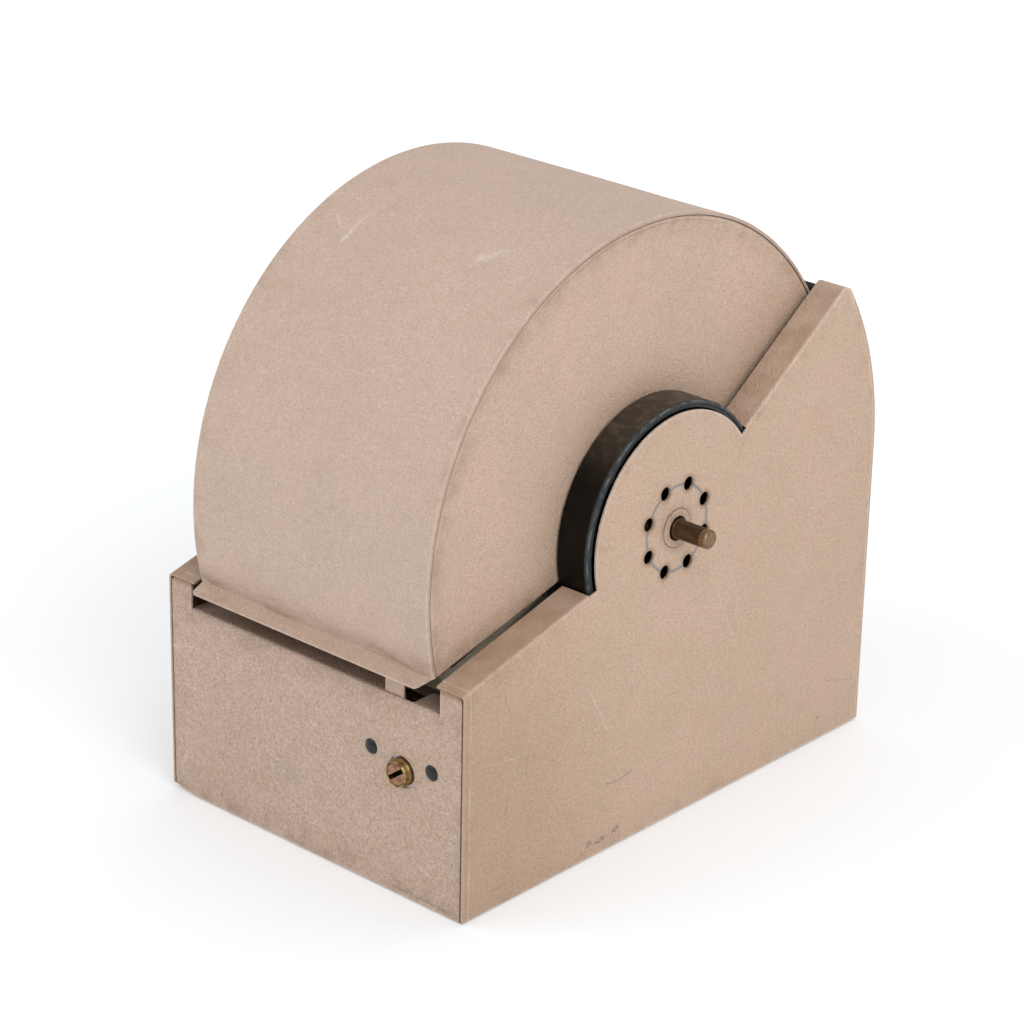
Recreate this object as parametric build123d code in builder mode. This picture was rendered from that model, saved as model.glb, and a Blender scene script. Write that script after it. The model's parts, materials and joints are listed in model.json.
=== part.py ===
from build123d import *
import os
from math import asin, cos, degrees, radians, sin, tan

# Covered rotary desk file for 3 x 5 in cards, with a roll-back cover that locks at the front.
# Millimetres. +X is the bare end of the spindle, -Y is the front with the lock, +Z is up.
# The origin is the centre of the bottom of the whole object's box.

# Housing
housing_width = 178.0
sheet = 1.0
hub_height = 141.0          # spindle axis above the table
front_depth = 131.5         # spindle axis to the front panel's face
back_radius = 140.5         # spindle axis to the back panel's face
front_slope = 194.9         # angle of the front slope about the spindle, from +Y towards +Z
rear_slope = 35.7
arch_radius = 52.4          # half-round top of a side panel, inside the hub ring
flange_width = 16.0
bend_radius = 2.2
corner_radius = 3.0
panel_bottom = 1.0
seam = 0.2                  # gap between the side panels' rear edge and the back panel
back_top_angle = 31.5
bumper_angle = 33.2
rear_heel = 3.5             # rounding of a side panel's rear bottom corner
toe_lift = 2.0              # the front's bottom left corner is bent up this much
toe_length = 14.0

# Front panel's notch, shelf and slot
notch_half_width = 75.0
shelf_height = 93.0
shelf_depth = 13.5
shelf_bend = 1.5
slot_left, slot_right = 41.5, 58.5

# Cover
cover_radius = 134.3
cover_half_width = 69.8
skin = 0.9
lip_radius = 143.2
lip_half_width = 67.0
cover_front_angle = 194.8
cover_rear_angle = 20.0
cover_travel = 160.0
hub_disc_radius = 52.0
disc_inset = 0.2
tab_inner_radius, tab_outer_radius = 137.6, 138.5
tab_left, tab_right, tab_hook_right = 42.3, 53.0, 57.5
tab_bend_height = 93.5      # the tab is upright above this and follows its circle about the spindle below
tab_bottom = 72.0

# Hub cup and cover pivot
cup_outer, cup_inner = 56.3, 52.7
cup_step = 0.3              # the rim's inner part is this much lower
cup_rim_x = 87.2
cup_floor_x = 70.4
cup_floor = 1.2
pivot_radius = 40.0
pivot_clearance = 0.05
stop_radius = 47.0
stop_angle = 190.0
collar_screw_radius = 35.0

# Spindle and drum
spindle_end = 108.0
spindle_radius = 4.3
stub_radius = 4.6
journal_radius = 4.8
running_clearance = 0.04
disc_x = 64.0
drum_sheet = 1.2
disc_radius = 60.0
rod_radius = 2.5
rod_circle = 30.0
rail_x = 27.0
rail_outer, rail_inner = 50.0, 47.0
card_half_width = 63.5      # a 5 in card
card_inner, card_outer = 43.0, 119.0
divider_outer = 125.5
dividers, cards_between = 20, 3
card_thickness, divider_thickness = 0.25, 0.5
divider_tab_width = 24.0
divider_tabs = (-50, -25, 0, 25, 50)

# Spindle eyelet, detent holes and knob
eyelet_hole, eyelet_outer = 5.5, 8.6
detent_circle = 19.85
detent_hole = 3.15
detent_start = 24.6
knob_radius = 27.0
knob_face = 91.2
knob_insert_radius, knob_insert_end = 8.0, 104.5
knob_screw_x = 98.0
detent_bore_end = 102.0
ball_radius = 3.4
ball_gap = 0.15             # the ball is held this far off the side panel

# Lock
lock_x, lock_z = 53.3, 59.5
lock_hole = 7.3
lock_front = 135.5          # spindle axis to the barrel's front end
plug_radius = 4.95
barrel_bore = 5.0
keyway_width = 2.1
cam_depth = 117.8
cam_sheet = 1.5
cam_reach = 20.5
cam_notch_inner, cam_notch_outer = 17.0, 21.0
cam_notch_start, cam_notch_end = 84.0, 150.0
lock_plate_width, lock_plate_height, lock_plate_z = 46.0, 24.0, 61.0
rivet_x = (35.5, 70.6)
rivet_z = 65.0

# Feet
foot_height = 2.0
foot_radius = 8.0
foot_places = [(x, y) for x in (-70, 70) for y in (-112, 118)]
screw_places = [(x, y) for x in (-80, 80) for y in (-60, 80)]

# The spindle stands where the lip's edge and the back panel are the same distance from the origin
lip_turn = radians(cover_front_angle - 180)
lip_tip = lip_radius * cos(lip_turn) + skin * sin(lip_turn)
hub_y = (lip_tip - back_radius) / 2
outer_x = housing_width / 2
inner_x = outer_x - sheet
ground = panel_bottom - hub_height
hub = Vector(0, hub_y, hub_height)
hub_axis = Axis(hub, (1, 0, 0))
lock_axis = Axis((lock_x, hub_y, lock_z), (0, -1, 0))


def side_plane(x):
    """Side view at x: sketches are drawn about the spindle, in y and z, and extruded towards +X."""
    return Plane(origin=(x, hub_y, hub_height), x_dir=(0, 1, 0), z_dir=(1, 0, 0))


def front_plane(depth):
    """Front view at a depth before the spindle: sketches are in x and z, extruded towards the front."""
    return Plane(origin=(0, hub_y - depth, 0), x_dir=(1, 0, 0), z_dir=(0, -1, 0))


def at(angle, radius, drop=0.0):
    """A point of the side view; drop is measured square to the radius, towards larger angles."""
    turn = radians(angle)
    return (radius * cos(turn) - drop * sin(turn), radius * sin(turn) + drop * cos(turn))


def profile(points, origin, along, out):
    """A closed outline whose points are (distance along a direction, distance out from it)."""
    plane = Plane(origin=origin, x_dir=along, z_dir=Vector(along).cross(Vector(out)))
    with BuildSketch(plane) as outline:
        with BuildLine():
            Polyline(*points, close=True)
        make_face()
    return outline.sketch


def about_spindle(points):
    """A profile of (x, radius) points, to be revolved about the spindle."""
    return profile(points, hub, (1, 0, 0), (0, 0, 1))


def about_front(x, z, points):
    """A profile of (depth in front of the spindle, radius) points about a front-to-back line."""
    return profile(points, (x, hub_y, z), (0, -1, 0), (0, 0, 1))


def about_post(x, y, points):
    """A profile of (height, radius) points about an upright line."""
    return profile(points, (x, y, 0), (0, 0, 1), (1, 0, 0))


def ring_sector(x, inner, outer, start, end):
    """Side-view sketch of a ring's part between two angles."""
    with BuildSketch(side_plane(x)) as sector:
        with BuildLine():
            CenterArc((0, 0), outer, start, end - start)
            Line(at(end, outer), at(end, inner))
            CenterArc((0, 0), inner, end, start - end)
            Line(at(start, inner), at(start, outer))
        make_face()
    return sector.sketch


def ring(inner, outer, low, high):
    """Square-edged ring profile about the spindle."""
    return about_spindle([(low, inner), (high, inner), (high, outer), (low, outer)])


# ---- Housing ----

flange_start = cup_outer + 0.7


def side_outline(x, drop, corner=0.0):
    """Side view of a side panel; drop lowers its slopes outside the hub ring, corner rounds its top one."""
    front_rise = front_depth * tan(radians(front_slope - 180)) + drop / cos(radians(front_slope - 180))
    rear_angle = rear_slope - degrees(asin(drop / back_radius))
    front_step = [at(front_slope, flange_start, drop), at(front_slope, flange_start)] if drop else []
    rear_step = [at(rear_slope, flange_start), at(rear_slope, flange_start, -drop)] if drop else []
    with BuildSketch(side_plane(x)) as outline:
        with BuildLine():
            Polyline((-front_depth, ground), (-front_depth, -front_rise), *front_step,
                     at(front_slope, arch_radius))
            CenterArc((0, 0), arch_radius, front_slope, rear_slope - front_slope)
            Polyline(at(rear_slope, arch_radius), *rear_step, at(rear_angle, back_radius))
            CenterArc((0, 0), back_radius, rear_angle, -rear_angle)
            Polyline((back_radius, 0), (back_radius, ground), (-front_depth, ground))
        make_face()
        if corner:
            fillet(outline.vertices().sort_by(Axis.Y)[-1], corner)
            fillet(outline.vertices().sort_by_distance((back_radius, ground))[0], rear_heel)
    return outline.sketch


def bend_section(angle, inward):
    """Section of a folded edge: a quarter bend, then a flat flange towards the middle."""
    mid = sin(radians(45))
    centre = (outer_x - bend_radius, -bend_radius * inward)
    inside = bend_radius - sheet
    plane = Plane(origin=hub, x_dir=(1, 0, 0), z_dir=(0, cos(radians(angle)), sin(radians(angle))))

    def on_arc(radius, right, up):
        return (centre[0] + radius * right, centre[1] + radius * up * inward)

    with BuildSketch(plane.offset(flange_start)) as section:
        with BuildLine():
            ThreePointArc(on_arc(bend_radius, 1, 0), on_arc(bend_radius, mid, mid),
                          on_arc(bend_radius, 0, 1))
            Polyline(
                on_arc(bend_radius, 0, 1), (outer_x - flange_width, 0),
                (outer_x - flange_width, -sheet * inward), on_arc(inside, 0, 1))
            ThreePointArc(on_arc(inside, 0, 1), on_arc(inside, mid, mid), on_arc(inside, 1, 0))
            Line(on_arc(inside, 1, 0), on_arc(bend_radius, 1, 0))
        make_face()
    return section.sketch


with BuildPart() as right_side_panel:
    extrude(side_outline(inner_x, bend_radius), amount=sheet)
    extrude(bend_section(front_slope, 1), amount=back_radius - flange_start)
    extrude(bend_section(rear_slope, -1), amount=back_radius - flange_start)
    # Trim to the panel's own silhouette, with its rear top corner rounded
    extrude(side_outline(outer_x - flange_width - 1, 0, corner_radius), amount=flange_width + 2,
            mode=Mode.INTERSECT)
    # The rear edge stands clear of the back panel, which reaches round to the same face
    extrude(ring_sector(inner_x - 1, back_radius - sheet - seam, back_radius + 1, -1, back_top_angle + 0.1),
            amount=sheet + 2, mode=Mode.SUBTRACT)
    with Locations((outer_x, hub_y + back_radius, panel_bottom + (hub_height - panel_bottom) / 2)):
        Box(4, 2 * (sheet + seam), hub_height - panel_bottom + 2, mode=Mode.SUBTRACT)
    with BuildSketch(side_plane(inner_x)):
        Circle(eyelet_hole + 0.75)
        with PolarLocations(detent_circle, 8, start_angle=detent_start):
            Circle(detent_hole)
    extrude(amount=sheet, mode=Mode.SUBTRACT)

with BuildPart() as left_side_panel:
    mirror(right_side_panel.part, about=Plane.YZ)
    # Its front bottom corner is lifted with the front panel's
    with BuildSketch(side_plane(-outer_x - 1)):
        with BuildLine():
            Polyline((-front_depth - 1, ground - 1), (-front_depth - 1, ground + toe_lift + 0.3),
                     (-front_depth, ground + toe_lift), (toe_length - front_depth, ground - 0.1),
                     (toe_length - front_depth, ground - 1), close=True)
        make_face()
    extrude(amount=sheet + 2, mode=Mode.SUBTRACT)

with BuildPart() as front_panel:
    front_edge = inner_x - 0.3
    cheek_top = hub_height - front_depth * tan(radians(front_slope - 180)) - 1.3
    cheek_relief = 2.0      # corner cut away under the side panel's bend
    with BuildSketch(front_plane(front_depth - sheet)):
        with BuildLine():
            Polyline(
                (-front_edge, panel_bottom + toe_lift), (toe_length - front_edge, panel_bottom),
                (front_edge, panel_bottom),
                (front_edge, cheek_top - cheek_relief), (front_edge - cheek_relief, cheek_top),
                (notch_half_width, cheek_top), (notch_half_width, shelf_height - shelf_bend),
                (-notch_half_width, shelf_height - shelf_bend), (-notch_half_width, cheek_top),
                (cheek_relief - front_edge, cheek_top), (-front_edge, cheek_top - cheek_relief), close=True)
        make_face()
        with Locations((lock_x, lock_z)):
            Circle(lock_hole, mode=Mode.SUBTRACT)
        with Locations(*[(x, rivet_z) for x in rivet_x]):
            Circle(1.8, mode=Mode.SUBTRACT)
    extrude(amount=sheet)
    # Shelf, folded back from the bottom of the notch
    shelf_plane = Plane(origin=(-notch_half_width, hub_y, shelf_height), x_dir=(0, 1, 0), z_dir=(1, 0, 0))
    with BuildSketch(shelf_plane):
        with BuildLine():
            bend_inside = shelf_bend - sheet
            CenterArc((shelf_bend - front_depth, -shelf_bend), shelf_bend, 90, 90)
            Polyline(
                (-front_depth, -shelf_bend), (sheet - front_depth, -shelf_bend))
            CenterArc((shelf_bend - front_depth, -shelf_bend), bend_inside, 180, -90)
            Polyline(
                (shelf_bend - front_depth, -sheet), (shelf_depth - front_depth, -sheet),
                (shelf_depth - front_depth, 0), (shelf_bend - front_depth, 0))
        make_face()
    extrude(amount=2 * notch_half_width)
    # Slot for the latch tab, open at the shelf's inner edge
    slot_depth = shelf_depth - shelf_bend
    slot_middle = hub_y - front_depth + shelf_bend + slot_depth / 2
    with Locations(((slot_left + slot_right) / 2, slot_middle, shelf_height)):
        Box(slot_right - slot_left, slot_depth + 0.2, 4 * sheet, mode=Mode.SUBTRACT)
    # Side flanges behind the face, against the side panels
    for side in (-1, 1):
        with Locations((side * (inner_x - 0.1 - sheet / 2), hub_y - front_depth + sheet + 6, 47)):
            Box(sheet, 12, 86)

with BuildPart() as back_panel:
    back_width = 2 * outer_x - 0.1
    with BuildSketch(side_plane(-back_width / 2)):
        with BuildLine():
            CenterArc((0, 0), back_radius, 0, back_top_angle)
            Line(at(back_top_angle, back_radius), at(back_top_angle, back_radius - sheet))
            CenterArc((0, 0), back_radius - sheet, back_top_angle, -back_top_angle)
            Polyline((back_radius - sheet, 0), (back_radius - sheet, ground), (back_radius, ground),
                     (back_radius, 0))
        make_face()
    extrude(amount=back_width)
    # Side flanges, spot welded to the side panels
    for side in (-1, 1):
        flange_x = side * (inner_x - sheet / 2) - sheet / 2
        with BuildSketch(side_plane(flange_x)):
            with BuildLine():
                CenterArc((0, 0), back_radius - sheet, 0, back_top_angle - 1)
                Line(at(back_top_angle - 1, back_radius - sheet), at(back_top_angle - 1, back_radius - 12))
                CenterArc((0, 0), back_radius - 12, back_top_angle - 1, 1 - back_top_angle)
                Polyline((back_radius - 12, 0), (back_radius - 12, ground + 12),
                         (back_radius - sheet, ground + 12), (back_radius - sheet, 0))
            make_face()
        extrude(amount=sheet)

with BuildPart() as bottom_plate:
    tray_front = hub_y - front_depth + sheet
    tray_back = hub_y + back_radius - sheet
    tray_width = 2 * (inner_x - sheet - 0.1)
    tray_middle = (tray_front + tray_back) / 2
    with Locations((0, tray_middle, foot_height + 4.5)):
        Box(tray_width, tray_back - tray_front, 9)
    with Locations((0, tray_middle, foot_height + sheet + 4)):
        Box(tray_width - 2 * sheet, tray_back - tray_front - 2 * sheet, 8, mode=Mode.SUBTRACT)
    with Locations(*[(x, y, foot_height) for x, y in foot_places]):
        Hole(1.5)
    with Locations(*[(x, y, foot_height) for x, y in screw_places]):
        Hole(1.5)

with BuildPart() as bottom_screws:
    for place in screw_places:
        revolve(about_post(*place, [
            (foot_height - 1.0, 0), (foot_height - 1.0, 2.6), (foot_height, 3.0), (foot_height, 1.5),
            (foot_height + 6, 1.5), (foot_height + 6, 0)]), axis=Axis((*place, 0), (0, 0, 1)))

with BuildPart() as rubber_feet:
    for place in foot_places:
        revolve(about_post(*place, [
            (0, 3.8), (0, foot_radius - 0.6), (0.6, foot_radius), (foot_height, foot_radius),
            (foot_height, 1.6), (1.0, 1.6), (1.0, 3.8)]), axis=Axis((*place, 0), (0, 0, 1)))

with BuildPart() as foot_rivets:
    for place in foot_places:
        revolve(about_post(*place, [
            (0.4, 0), (0.4, 3.4), (1.0, 3.4), (1.0, 1.5), (foot_height + sheet, 1.5),
            (foot_height + sheet, 3.2), (foot_height + sheet + 0.8, 2.6), (foot_height + sheet + 0.8, 0)]),
            axis=Axis((*place, 0), (0, 0, 1)))

# ---- Hub cups, cover pivots and spindle bearings ----

with BuildPart() as hub_cup_right:
    revolve(about_spindle([
        (cup_floor_x, 7.0), (cup_floor_x + cup_floor, 7.0), (cup_floor_x + cup_floor, cup_inner),
        (cup_rim_x - cup_step, cup_inner), (cup_rim_x - cup_step, cup_inner + 1.3),
        (cup_rim_x, cup_inner + 1.6), (cup_rim_x, cup_outer - 0.6), (cup_rim_x - 0.6, cup_outer),
        (cup_floor_x, cup_outer)]), axis=hub_axis)
    # Lugs welded to the side panel, below its sloping edges
    for lug_angle in (225, 285, 345):
        extrude(ring_sector(cup_rim_x - 1, cup_inner + 1, cup_outer - 0.6, lug_angle - 6, lug_angle + 6),
                amount=inner_x - cup_rim_x + 1)
    with BuildSketch(side_plane(cup_floor_x)):
        with PolarLocations(collar_screw_radius, 4, start_angle=45):
            Circle(1.5)
        with Locations(at(stop_angle, stop_radius)):
            Circle(1.5)
    extrude(amount=cup_floor, mode=Mode.SUBTRACT)

with BuildPart() as pivot_collar_right:
    revolve(about_spindle([
        (cup_floor_x - 3.0, 30), (cup_floor_x, 30), (cup_floor_x, pivot_radius),
        (cup_floor_x - 2.0, pivot_radius), (cup_floor_x - 2.0, pivot_radius + 4),
        (cup_floor_x - 3.0, pivot_radius + 4)]), axis=hub_axis)
    with BuildSketch(side_plane(cup_floor_x - 3.0)):
        with PolarLocations(collar_screw_radius, 4, start_angle=45):
            Circle(1.5)
    extrude(amount=3.0, mode=Mode.SUBTRACT)

with BuildPart() as axle_bush_right:
    revolve(about_spindle([
        (cup_floor_x - 1.2, journal_radius + running_clearance), (78, journal_radius + running_clearance),
        (78, 6.6), (77.6, 7.0), (cup_floor_x, 7.0), (cup_floor_x, 9.0), (cup_floor_x - 1.2, 9.0)]),
        axis=hub_axis)

with BuildPart() as axle_eyelet_right:
    revolve(about_spindle([
        (inner_x - 0.8, eyelet_hole), (outer_x + 0.5, eyelet_hole), (outer_x + 0.8, eyelet_hole + 0.3),
        (outer_x + 0.8, eyelet_outer - 0.6), (outer_x + 0.4, eyelet_outer), (outer_x, eyelet_outer),
        (outer_x, eyelet_hole + 0.75), (inner_x, eyelet_hole + 0.75), (inner_x, 8.0),
        (inner_x - 0.8, 7.4)]), axis=hub_axis)

with BuildPart() as hub_cup_left:
    mirror(hub_cup_right.part, about=Plane.YZ)

with BuildPart() as pivot_collar_left:
    mirror(pivot_collar_right.part, about=Plane.YZ)

with BuildPart() as axle_bush_left:
    mirror(axle_bush_right.part, about=Plane.YZ)

with BuildPart() as axle_eyelet_left:
    mirror(axle_eyelet_right.part, about=Plane.YZ)

with BuildPart() as collar_screws:
    screw_head = cup_floor_x + cup_floor
    with BuildSketch(side_plane(cup_floor_x - 2.8)):
        with PolarLocations(collar_screw_radius, 4, start_angle=45):
            Circle(1.5)
    extrude(amount=2.8 + cup_floor)
    with BuildSketch(side_plane(screw_head)):
        with PolarLocations(collar_screw_radius, 4, start_angle=45):
            Circle(2.8)
    extrude(amount=1.4)
    chamfer(collar_screws.edges().group_by(Axis.X)[-1], 0.4)
    mirror(about=Plane.YZ)

with BuildPart() as cover_stop_pins:
    with BuildSketch(side_plane(cup_floor_x - 2.2)):
        with Locations(at(stop_angle, stop_radius)):
            Circle(1.5)
    extrude(amount=2.2 + cup_floor)
    with BuildSketch(side_plane(cup_floor_x + cup_floor)):
        with Locations(at(stop_angle, stop_radius)):
            Circle(2.6)
    extrude(amount=0.8)
    mirror(about=Plane.YZ)

with BuildPart() as rear_bumper_strip:
    bumper_half = outer_x - flange_width - 0.5
    extrude(ring_sector(-bumper_half, back_radius - 3, back_radius, back_top_angle, bumper_angle),
            amount=2 * bumper_half)
    fillet(rear_bumper_strip.edges().filter_by(Axis.X).sort_by(Axis.Z)[-2:], 0.8)

# ---- Lock ----

with BuildPart() as lock_mount_plate:
    with BuildSketch(front_plane(front_depth - 2 * sheet)):
        with Locations((lock_x, lock_plate_z)):
            RectangleRounded(lock_plate_width, lock_plate_height, 4)
        with Locations((lock_x, lock_z)):
            Circle(6.55, mode=Mode.SUBTRACT)
        with Locations(*[(x, rivet_z) for x in rivet_x]):
            Circle(1.8, mode=Mode.SUBTRACT)
    extrude(amount=sheet)

with BuildPart() as lock_rivets:
    for x in rivet_x:
        back_face = front_depth - 2 * sheet
        revolve(about_front(x, rivet_z, [
            (front_depth + 1.35, 0), (front_depth + 1.2, 1.5), (front_depth + 0.75, 2.7),
            (front_depth, 3.6), (front_depth, 1.8), (back_face, 1.8), (back_face, 3.0),
            (back_face - 0.9, 2.4), (back_face - 0.9, 0)]), axis=Axis((x, hub_y, rivet_z), (0, -1, 0)))

with BuildPart() as lock_barrel:
    revolve(about_front(lock_x, lock_z, [
        (lock_front, barrel_bore), (lock_front, 5.6), (lock_front - 0.3, 5.85), (front_depth, 6.5),
        (cam_depth + 0.4, 6.5), (cam_depth + 0.4, barrel_bore)]), axis=lock_axis)

with BuildPart() as lock_nut:
    with BuildSketch(front_plane(front_depth - 2 * sheet - 3)):
        with Locations((lock_x, lock_z)):
            RegularPolygon(9.5, 6)
            Circle(6.55, mode=Mode.SUBTRACT)
    extrude(amount=3)
    chamfer(lock_nut.edges().filter_by(GeomType.LINE).group_by(Axis.Y)[-1], 0.5)

with BuildPart() as lock_plug:
    with BuildSketch(front_plane(cam_depth + 0.2)):
        with Locations((lock_x, lock_z)):
            Circle(plug_radius)
    extrude(amount=lock_front - 0.2 - cam_depth - 0.2)
    chamfer(lock_plug.edges().group_by(Axis.Y)[0], 0.3)
    # Keyway across the face
    with BuildSketch(front_plane(lock_front - 6)):
        with Locations(Location((lock_x, lock_z, 0), (0, 0, 37))):
            Rectangle(3 * plug_radius, keyway_width)
    extrude(amount=8, mode=Mode.SUBTRACT)
    # Square tail for the cam, drilled for its screw
    with BuildSketch(front_plane(cam_depth - cam_sheet)):
        with Locations((lock_x, lock_z)):
            Rectangle(5, 5)
    extrude(amount=cam_sheet + 0.3)
    with BuildSketch(front_plane(cam_depth - cam_sheet)):
        with Locations((lock_x, lock_z)):
            Circle(1.4)
    extrude(amount=7, mode=Mode.SUBTRACT)

with BuildPart() as lock_cam:
    with BuildSketch(front_plane(cam_depth - cam_sheet)):
        with Locations((lock_x, lock_z)):
            Circle(7)
        with Locations((lock_x - cam_reach / 2, lock_z)):
            Rectangle(cam_reach, 8)
        with Locations((lock_x, lock_z)):
            Rectangle(5.1, 5.1, mode=Mode.SUBTRACT)
    extrude(amount=cam_sheet)
    # Prong bent forward, which swings up into the latch tab's notch
    with BuildSketch(front_plane(cam_depth)):
        with Locations((lock_x - cam_reach + 1.5, lock_z)):
            Rectangle(1.6, 3)
    extrude(amount=7)

with BuildPart() as cam_screw:
    revolve(about_front(lock_x, lock_z, [
        (cam_depth + 4, 0), (cam_depth + 4, 1.4), (cam_depth - cam_sheet, 1.4), (cam_depth - cam_sheet, 4.4),
        (cam_depth - cam_sheet - 1.0, 4.4), (cam_depth - cam_sheet - 1.8, 3.4),
        (cam_depth - cam_sheet - 1.8, 0)]), axis=lock_axis)

# ---- Cover ----

with BuildPart() as cover_skin:
    extrude(ring_sector(-cover_half_width, cover_radius - skin, cover_radius, cover_rear_angle,
                        cover_front_angle), amount=2 * cover_half_width)
    # Lip folded outwards along the front edge
    with BuildSketch(side_plane(-lip_half_width)):
        with BuildLine():
            Polyline(
                at(cover_front_angle, cover_radius - skin), at(cover_front_angle, lip_radius),
                at(cover_front_angle, lip_radius, -skin), at(cover_front_angle, cover_radius - skin, -skin),
                close=True)
        make_face()
    extrude(amount=2 * lip_half_width)
    fillet(cover_skin.edges().filter_by(GeomType.CIRCLE).filter_by(
        lambda edge: abs(edge.radius - cover_radius) < 0.01), 0.5)

with BuildPart() as cover_side_right:
    inside_skin = cover_radius - skin - 0.05
    disc_face = cover_half_width - disc_inset
    with BuildSketch(side_plane(disc_face - sheet)):
        with BuildLine():
            CenterArc((0, 0), inside_skin, cover_rear_angle, cover_front_angle - cover_rear_angle)
            Polyline(at(cover_front_angle, inside_skin), (0, 0), at(cover_rear_angle, inside_skin))
        make_face()
        Circle(hub_disc_radius)
        Circle(pivot_radius + pivot_clearance, mode=Mode.SUBTRACT)
    extrude(amount=sheet)
    # Slot for the stop pin, as long as the cover's travel
    slot_start, slot_end = stop_angle - 2, stop_angle + cover_travel + 2
    extrude(ring_sector(disc_face - sheet, stop_radius - 1.8, stop_radius + 1.8, slot_start, slot_end),
            amount=sheet, mode=Mode.SUBTRACT)
    with BuildSketch(side_plane(disc_face - sheet)):
        with Locations(at(slot_start, stop_radius), at(slot_end, stop_radius)):
            Circle(1.8)
    extrude(amount=sheet, mode=Mode.SUBTRACT)

with BuildPart() as cover_side_left:
    mirror(cover_side_right.part, about=Plane.YZ)

with BuildPart() as latch_tab:
    tab_bend = hub_height - tab_bend_height
    tab_bend_angle = 180 + degrees(asin(tab_bend / tab_outer_radius))
    tab_end = 180 + degrees(asin((hub_height - tab_bottom) / tab_outer_radius))
    extrude(ring_sector(tab_left, tab_inner_radius, tab_outer_radius, tab_bend_angle, tab_end),
            amount=tab_hook_right - tab_left)
    # Upright part, from the cover's front edge down to the bend
    tab_front = tab_outer_radius * cos(radians(tab_bend_angle - 180))
    tab_back = tab_inner_radius * cos(radians(tab_bend_angle - 180))
    with BuildSketch(side_plane(tab_left)):
        with BuildLine():
            Polyline((-tab_front, -tab_bend), (-tab_front, -tab_front * tan(lip_turn)),
                     (-tab_back, -tab_back * tan(lip_turn)), at(tab_bend_angle, tab_inner_radius), close=True)
        make_face()
    extrude(amount=tab_right - tab_left)
    # Narrow above the hook, which starts a little below the shelf
    hook_width, hook_top = tab_hook_right - tab_right, shelf_height - 3
    with Locations(((tab_right + tab_hook_right) / 2 + 0.1, hub_y - front_depth, hook_top + 14)):
        Box(hook_width + 0.2, 20, 28, mode=Mode.SUBTRACT)
    # Curved notch that the cam's prong swings into, open to the left
    with BuildSketch(front_plane(110)):
        with BuildLine():
            outer_arc = CenterArc((lock_x, lock_z), cam_notch_outer, cam_notch_start,
                                  cam_notch_end - cam_notch_start)
            inner_arc = CenterArc((lock_x, lock_z), cam_notch_inner, cam_notch_start,
                                  cam_notch_end - cam_notch_start)
            Line(inner_arc @ 0, outer_arc @ 0)
            Line(inner_arc @ 1, outer_arc @ 1)
        make_face()
        with Locations((tab_left + 1, tab_bottom + 2)):
            Rectangle(8, 5)
    extrude(amount=20, mode=Mode.SUBTRACT)

with BuildPart() as cover_rear_stiffener:
    stiffener_half = disc_face - sheet - 0.1
    extrude(ring_sector(-stiffener_half, inside_skin - 1, inside_skin, cover_rear_angle,
                        cover_rear_angle + 4.5), amount=2 * stiffener_half)
    extrude(ring_sector(-stiffener_half, inside_skin - 6, inside_skin - 0.5, cover_rear_angle,
                        cover_rear_angle + 0.45), amount=2 * stiffener_half)

# ---- Drum ----

with BuildPart() as axle:
    revolve(about_spindle([
        (-104, 0), (-104, spindle_radius), (-90.2, spindle_radius), (-90.2, stub_radius), (-80, stub_radius),
        (-80, journal_radius), (80, journal_radius), (80, stub_radius), (90.2, stub_radius),
        (90.2, spindle_radius), (spindle_end - 0.8, spindle_radius), (spindle_end, spindle_radius - 0.8),
        (spindle_end, 0)]), axis=hub_axis)

on_axle = journal_radius + 0.02

with BuildPart() as drum_disc_right:
    revolve(ring(on_axle, disc_radius, disc_x, disc_x + drum_sheet), axis=hub_axis)
    with BuildSketch(side_plane(disc_x)):
        with PolarLocations(rod_circle, 4):
            Circle(rod_radius + 0.02)
        with PolarLocations(rod_circle + 8, 4, start_angle=45):
            Circle(10)
    extrude(amount=drum_sheet, mode=Mode.SUBTRACT)

with BuildPart() as drum_disc_left:
    mirror(drum_disc_right.part, about=Plane.YZ)

with BuildPart() as rail_wheel_right:
    revolve(about_spindle([
        (rail_x - 7, on_axle), (rail_x + 7, on_axle), (rail_x + 7, 9), (rail_x + 0.8, 9),
        (rail_x + 0.8, rail_inner), (rail_x + 3, rail_inner), (rail_x + 3, rail_outer),
        (rail_x - 3, rail_outer), (rail_x - 3, rail_inner), (rail_x - 0.8, rail_inner),
        (rail_x - 0.8, 9), (rail_x - 7, 9)]), axis=hub_axis)
    with BuildSketch(side_plane(rail_x - 1)):
        with PolarLocations(rod_circle, 4):
            Circle(rod_radius + 0.02)
        with PolarLocations(rod_circle, 4, start_angle=45):
            Circle(9)
    extrude(amount=2, mode=Mode.SUBTRACT)

with BuildPart() as rail_wheel_left:
    mirror(rail_wheel_right.part, about=Plane.YZ)

with BuildPart() as tie_rods:
    rod_end = disc_x + drum_sheet
    with BuildSketch(side_plane(-rod_end)):
        with PolarLocations(rod_circle, 4):
            Circle(rod_radius)
    extrude(amount=2 * rod_end)
    for x in (-rod_end - 0.7, rod_end):
        with BuildSketch(side_plane(x)):
            with PolarLocations(rod_circle, 4):
                Circle(rod_radius + 1.3)
        extrude(amount=0.7)

with BuildPart() as drum_collars:
    collar_start, collar_end = disc_x + drum_sheet, 67.9
    collar_middle = (collar_start + collar_end) / 2
    revolve(ring(on_axle, 12, collar_start, collar_end), axis=hub_axis)
    chamfer(drum_collars.edges().group_by(Axis.X)[-1].sort_by(SortBy.RADIUS)[-1], 0.4)
    with BuildSketch(Plane(origin=(collar_middle, hub_y, hub_height), z_dir=(0, 0, 1))):
        Circle(1.05)
    extrude(amount=13, mode=Mode.SUBTRACT)
    mirror(about=Plane.YZ)

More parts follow.
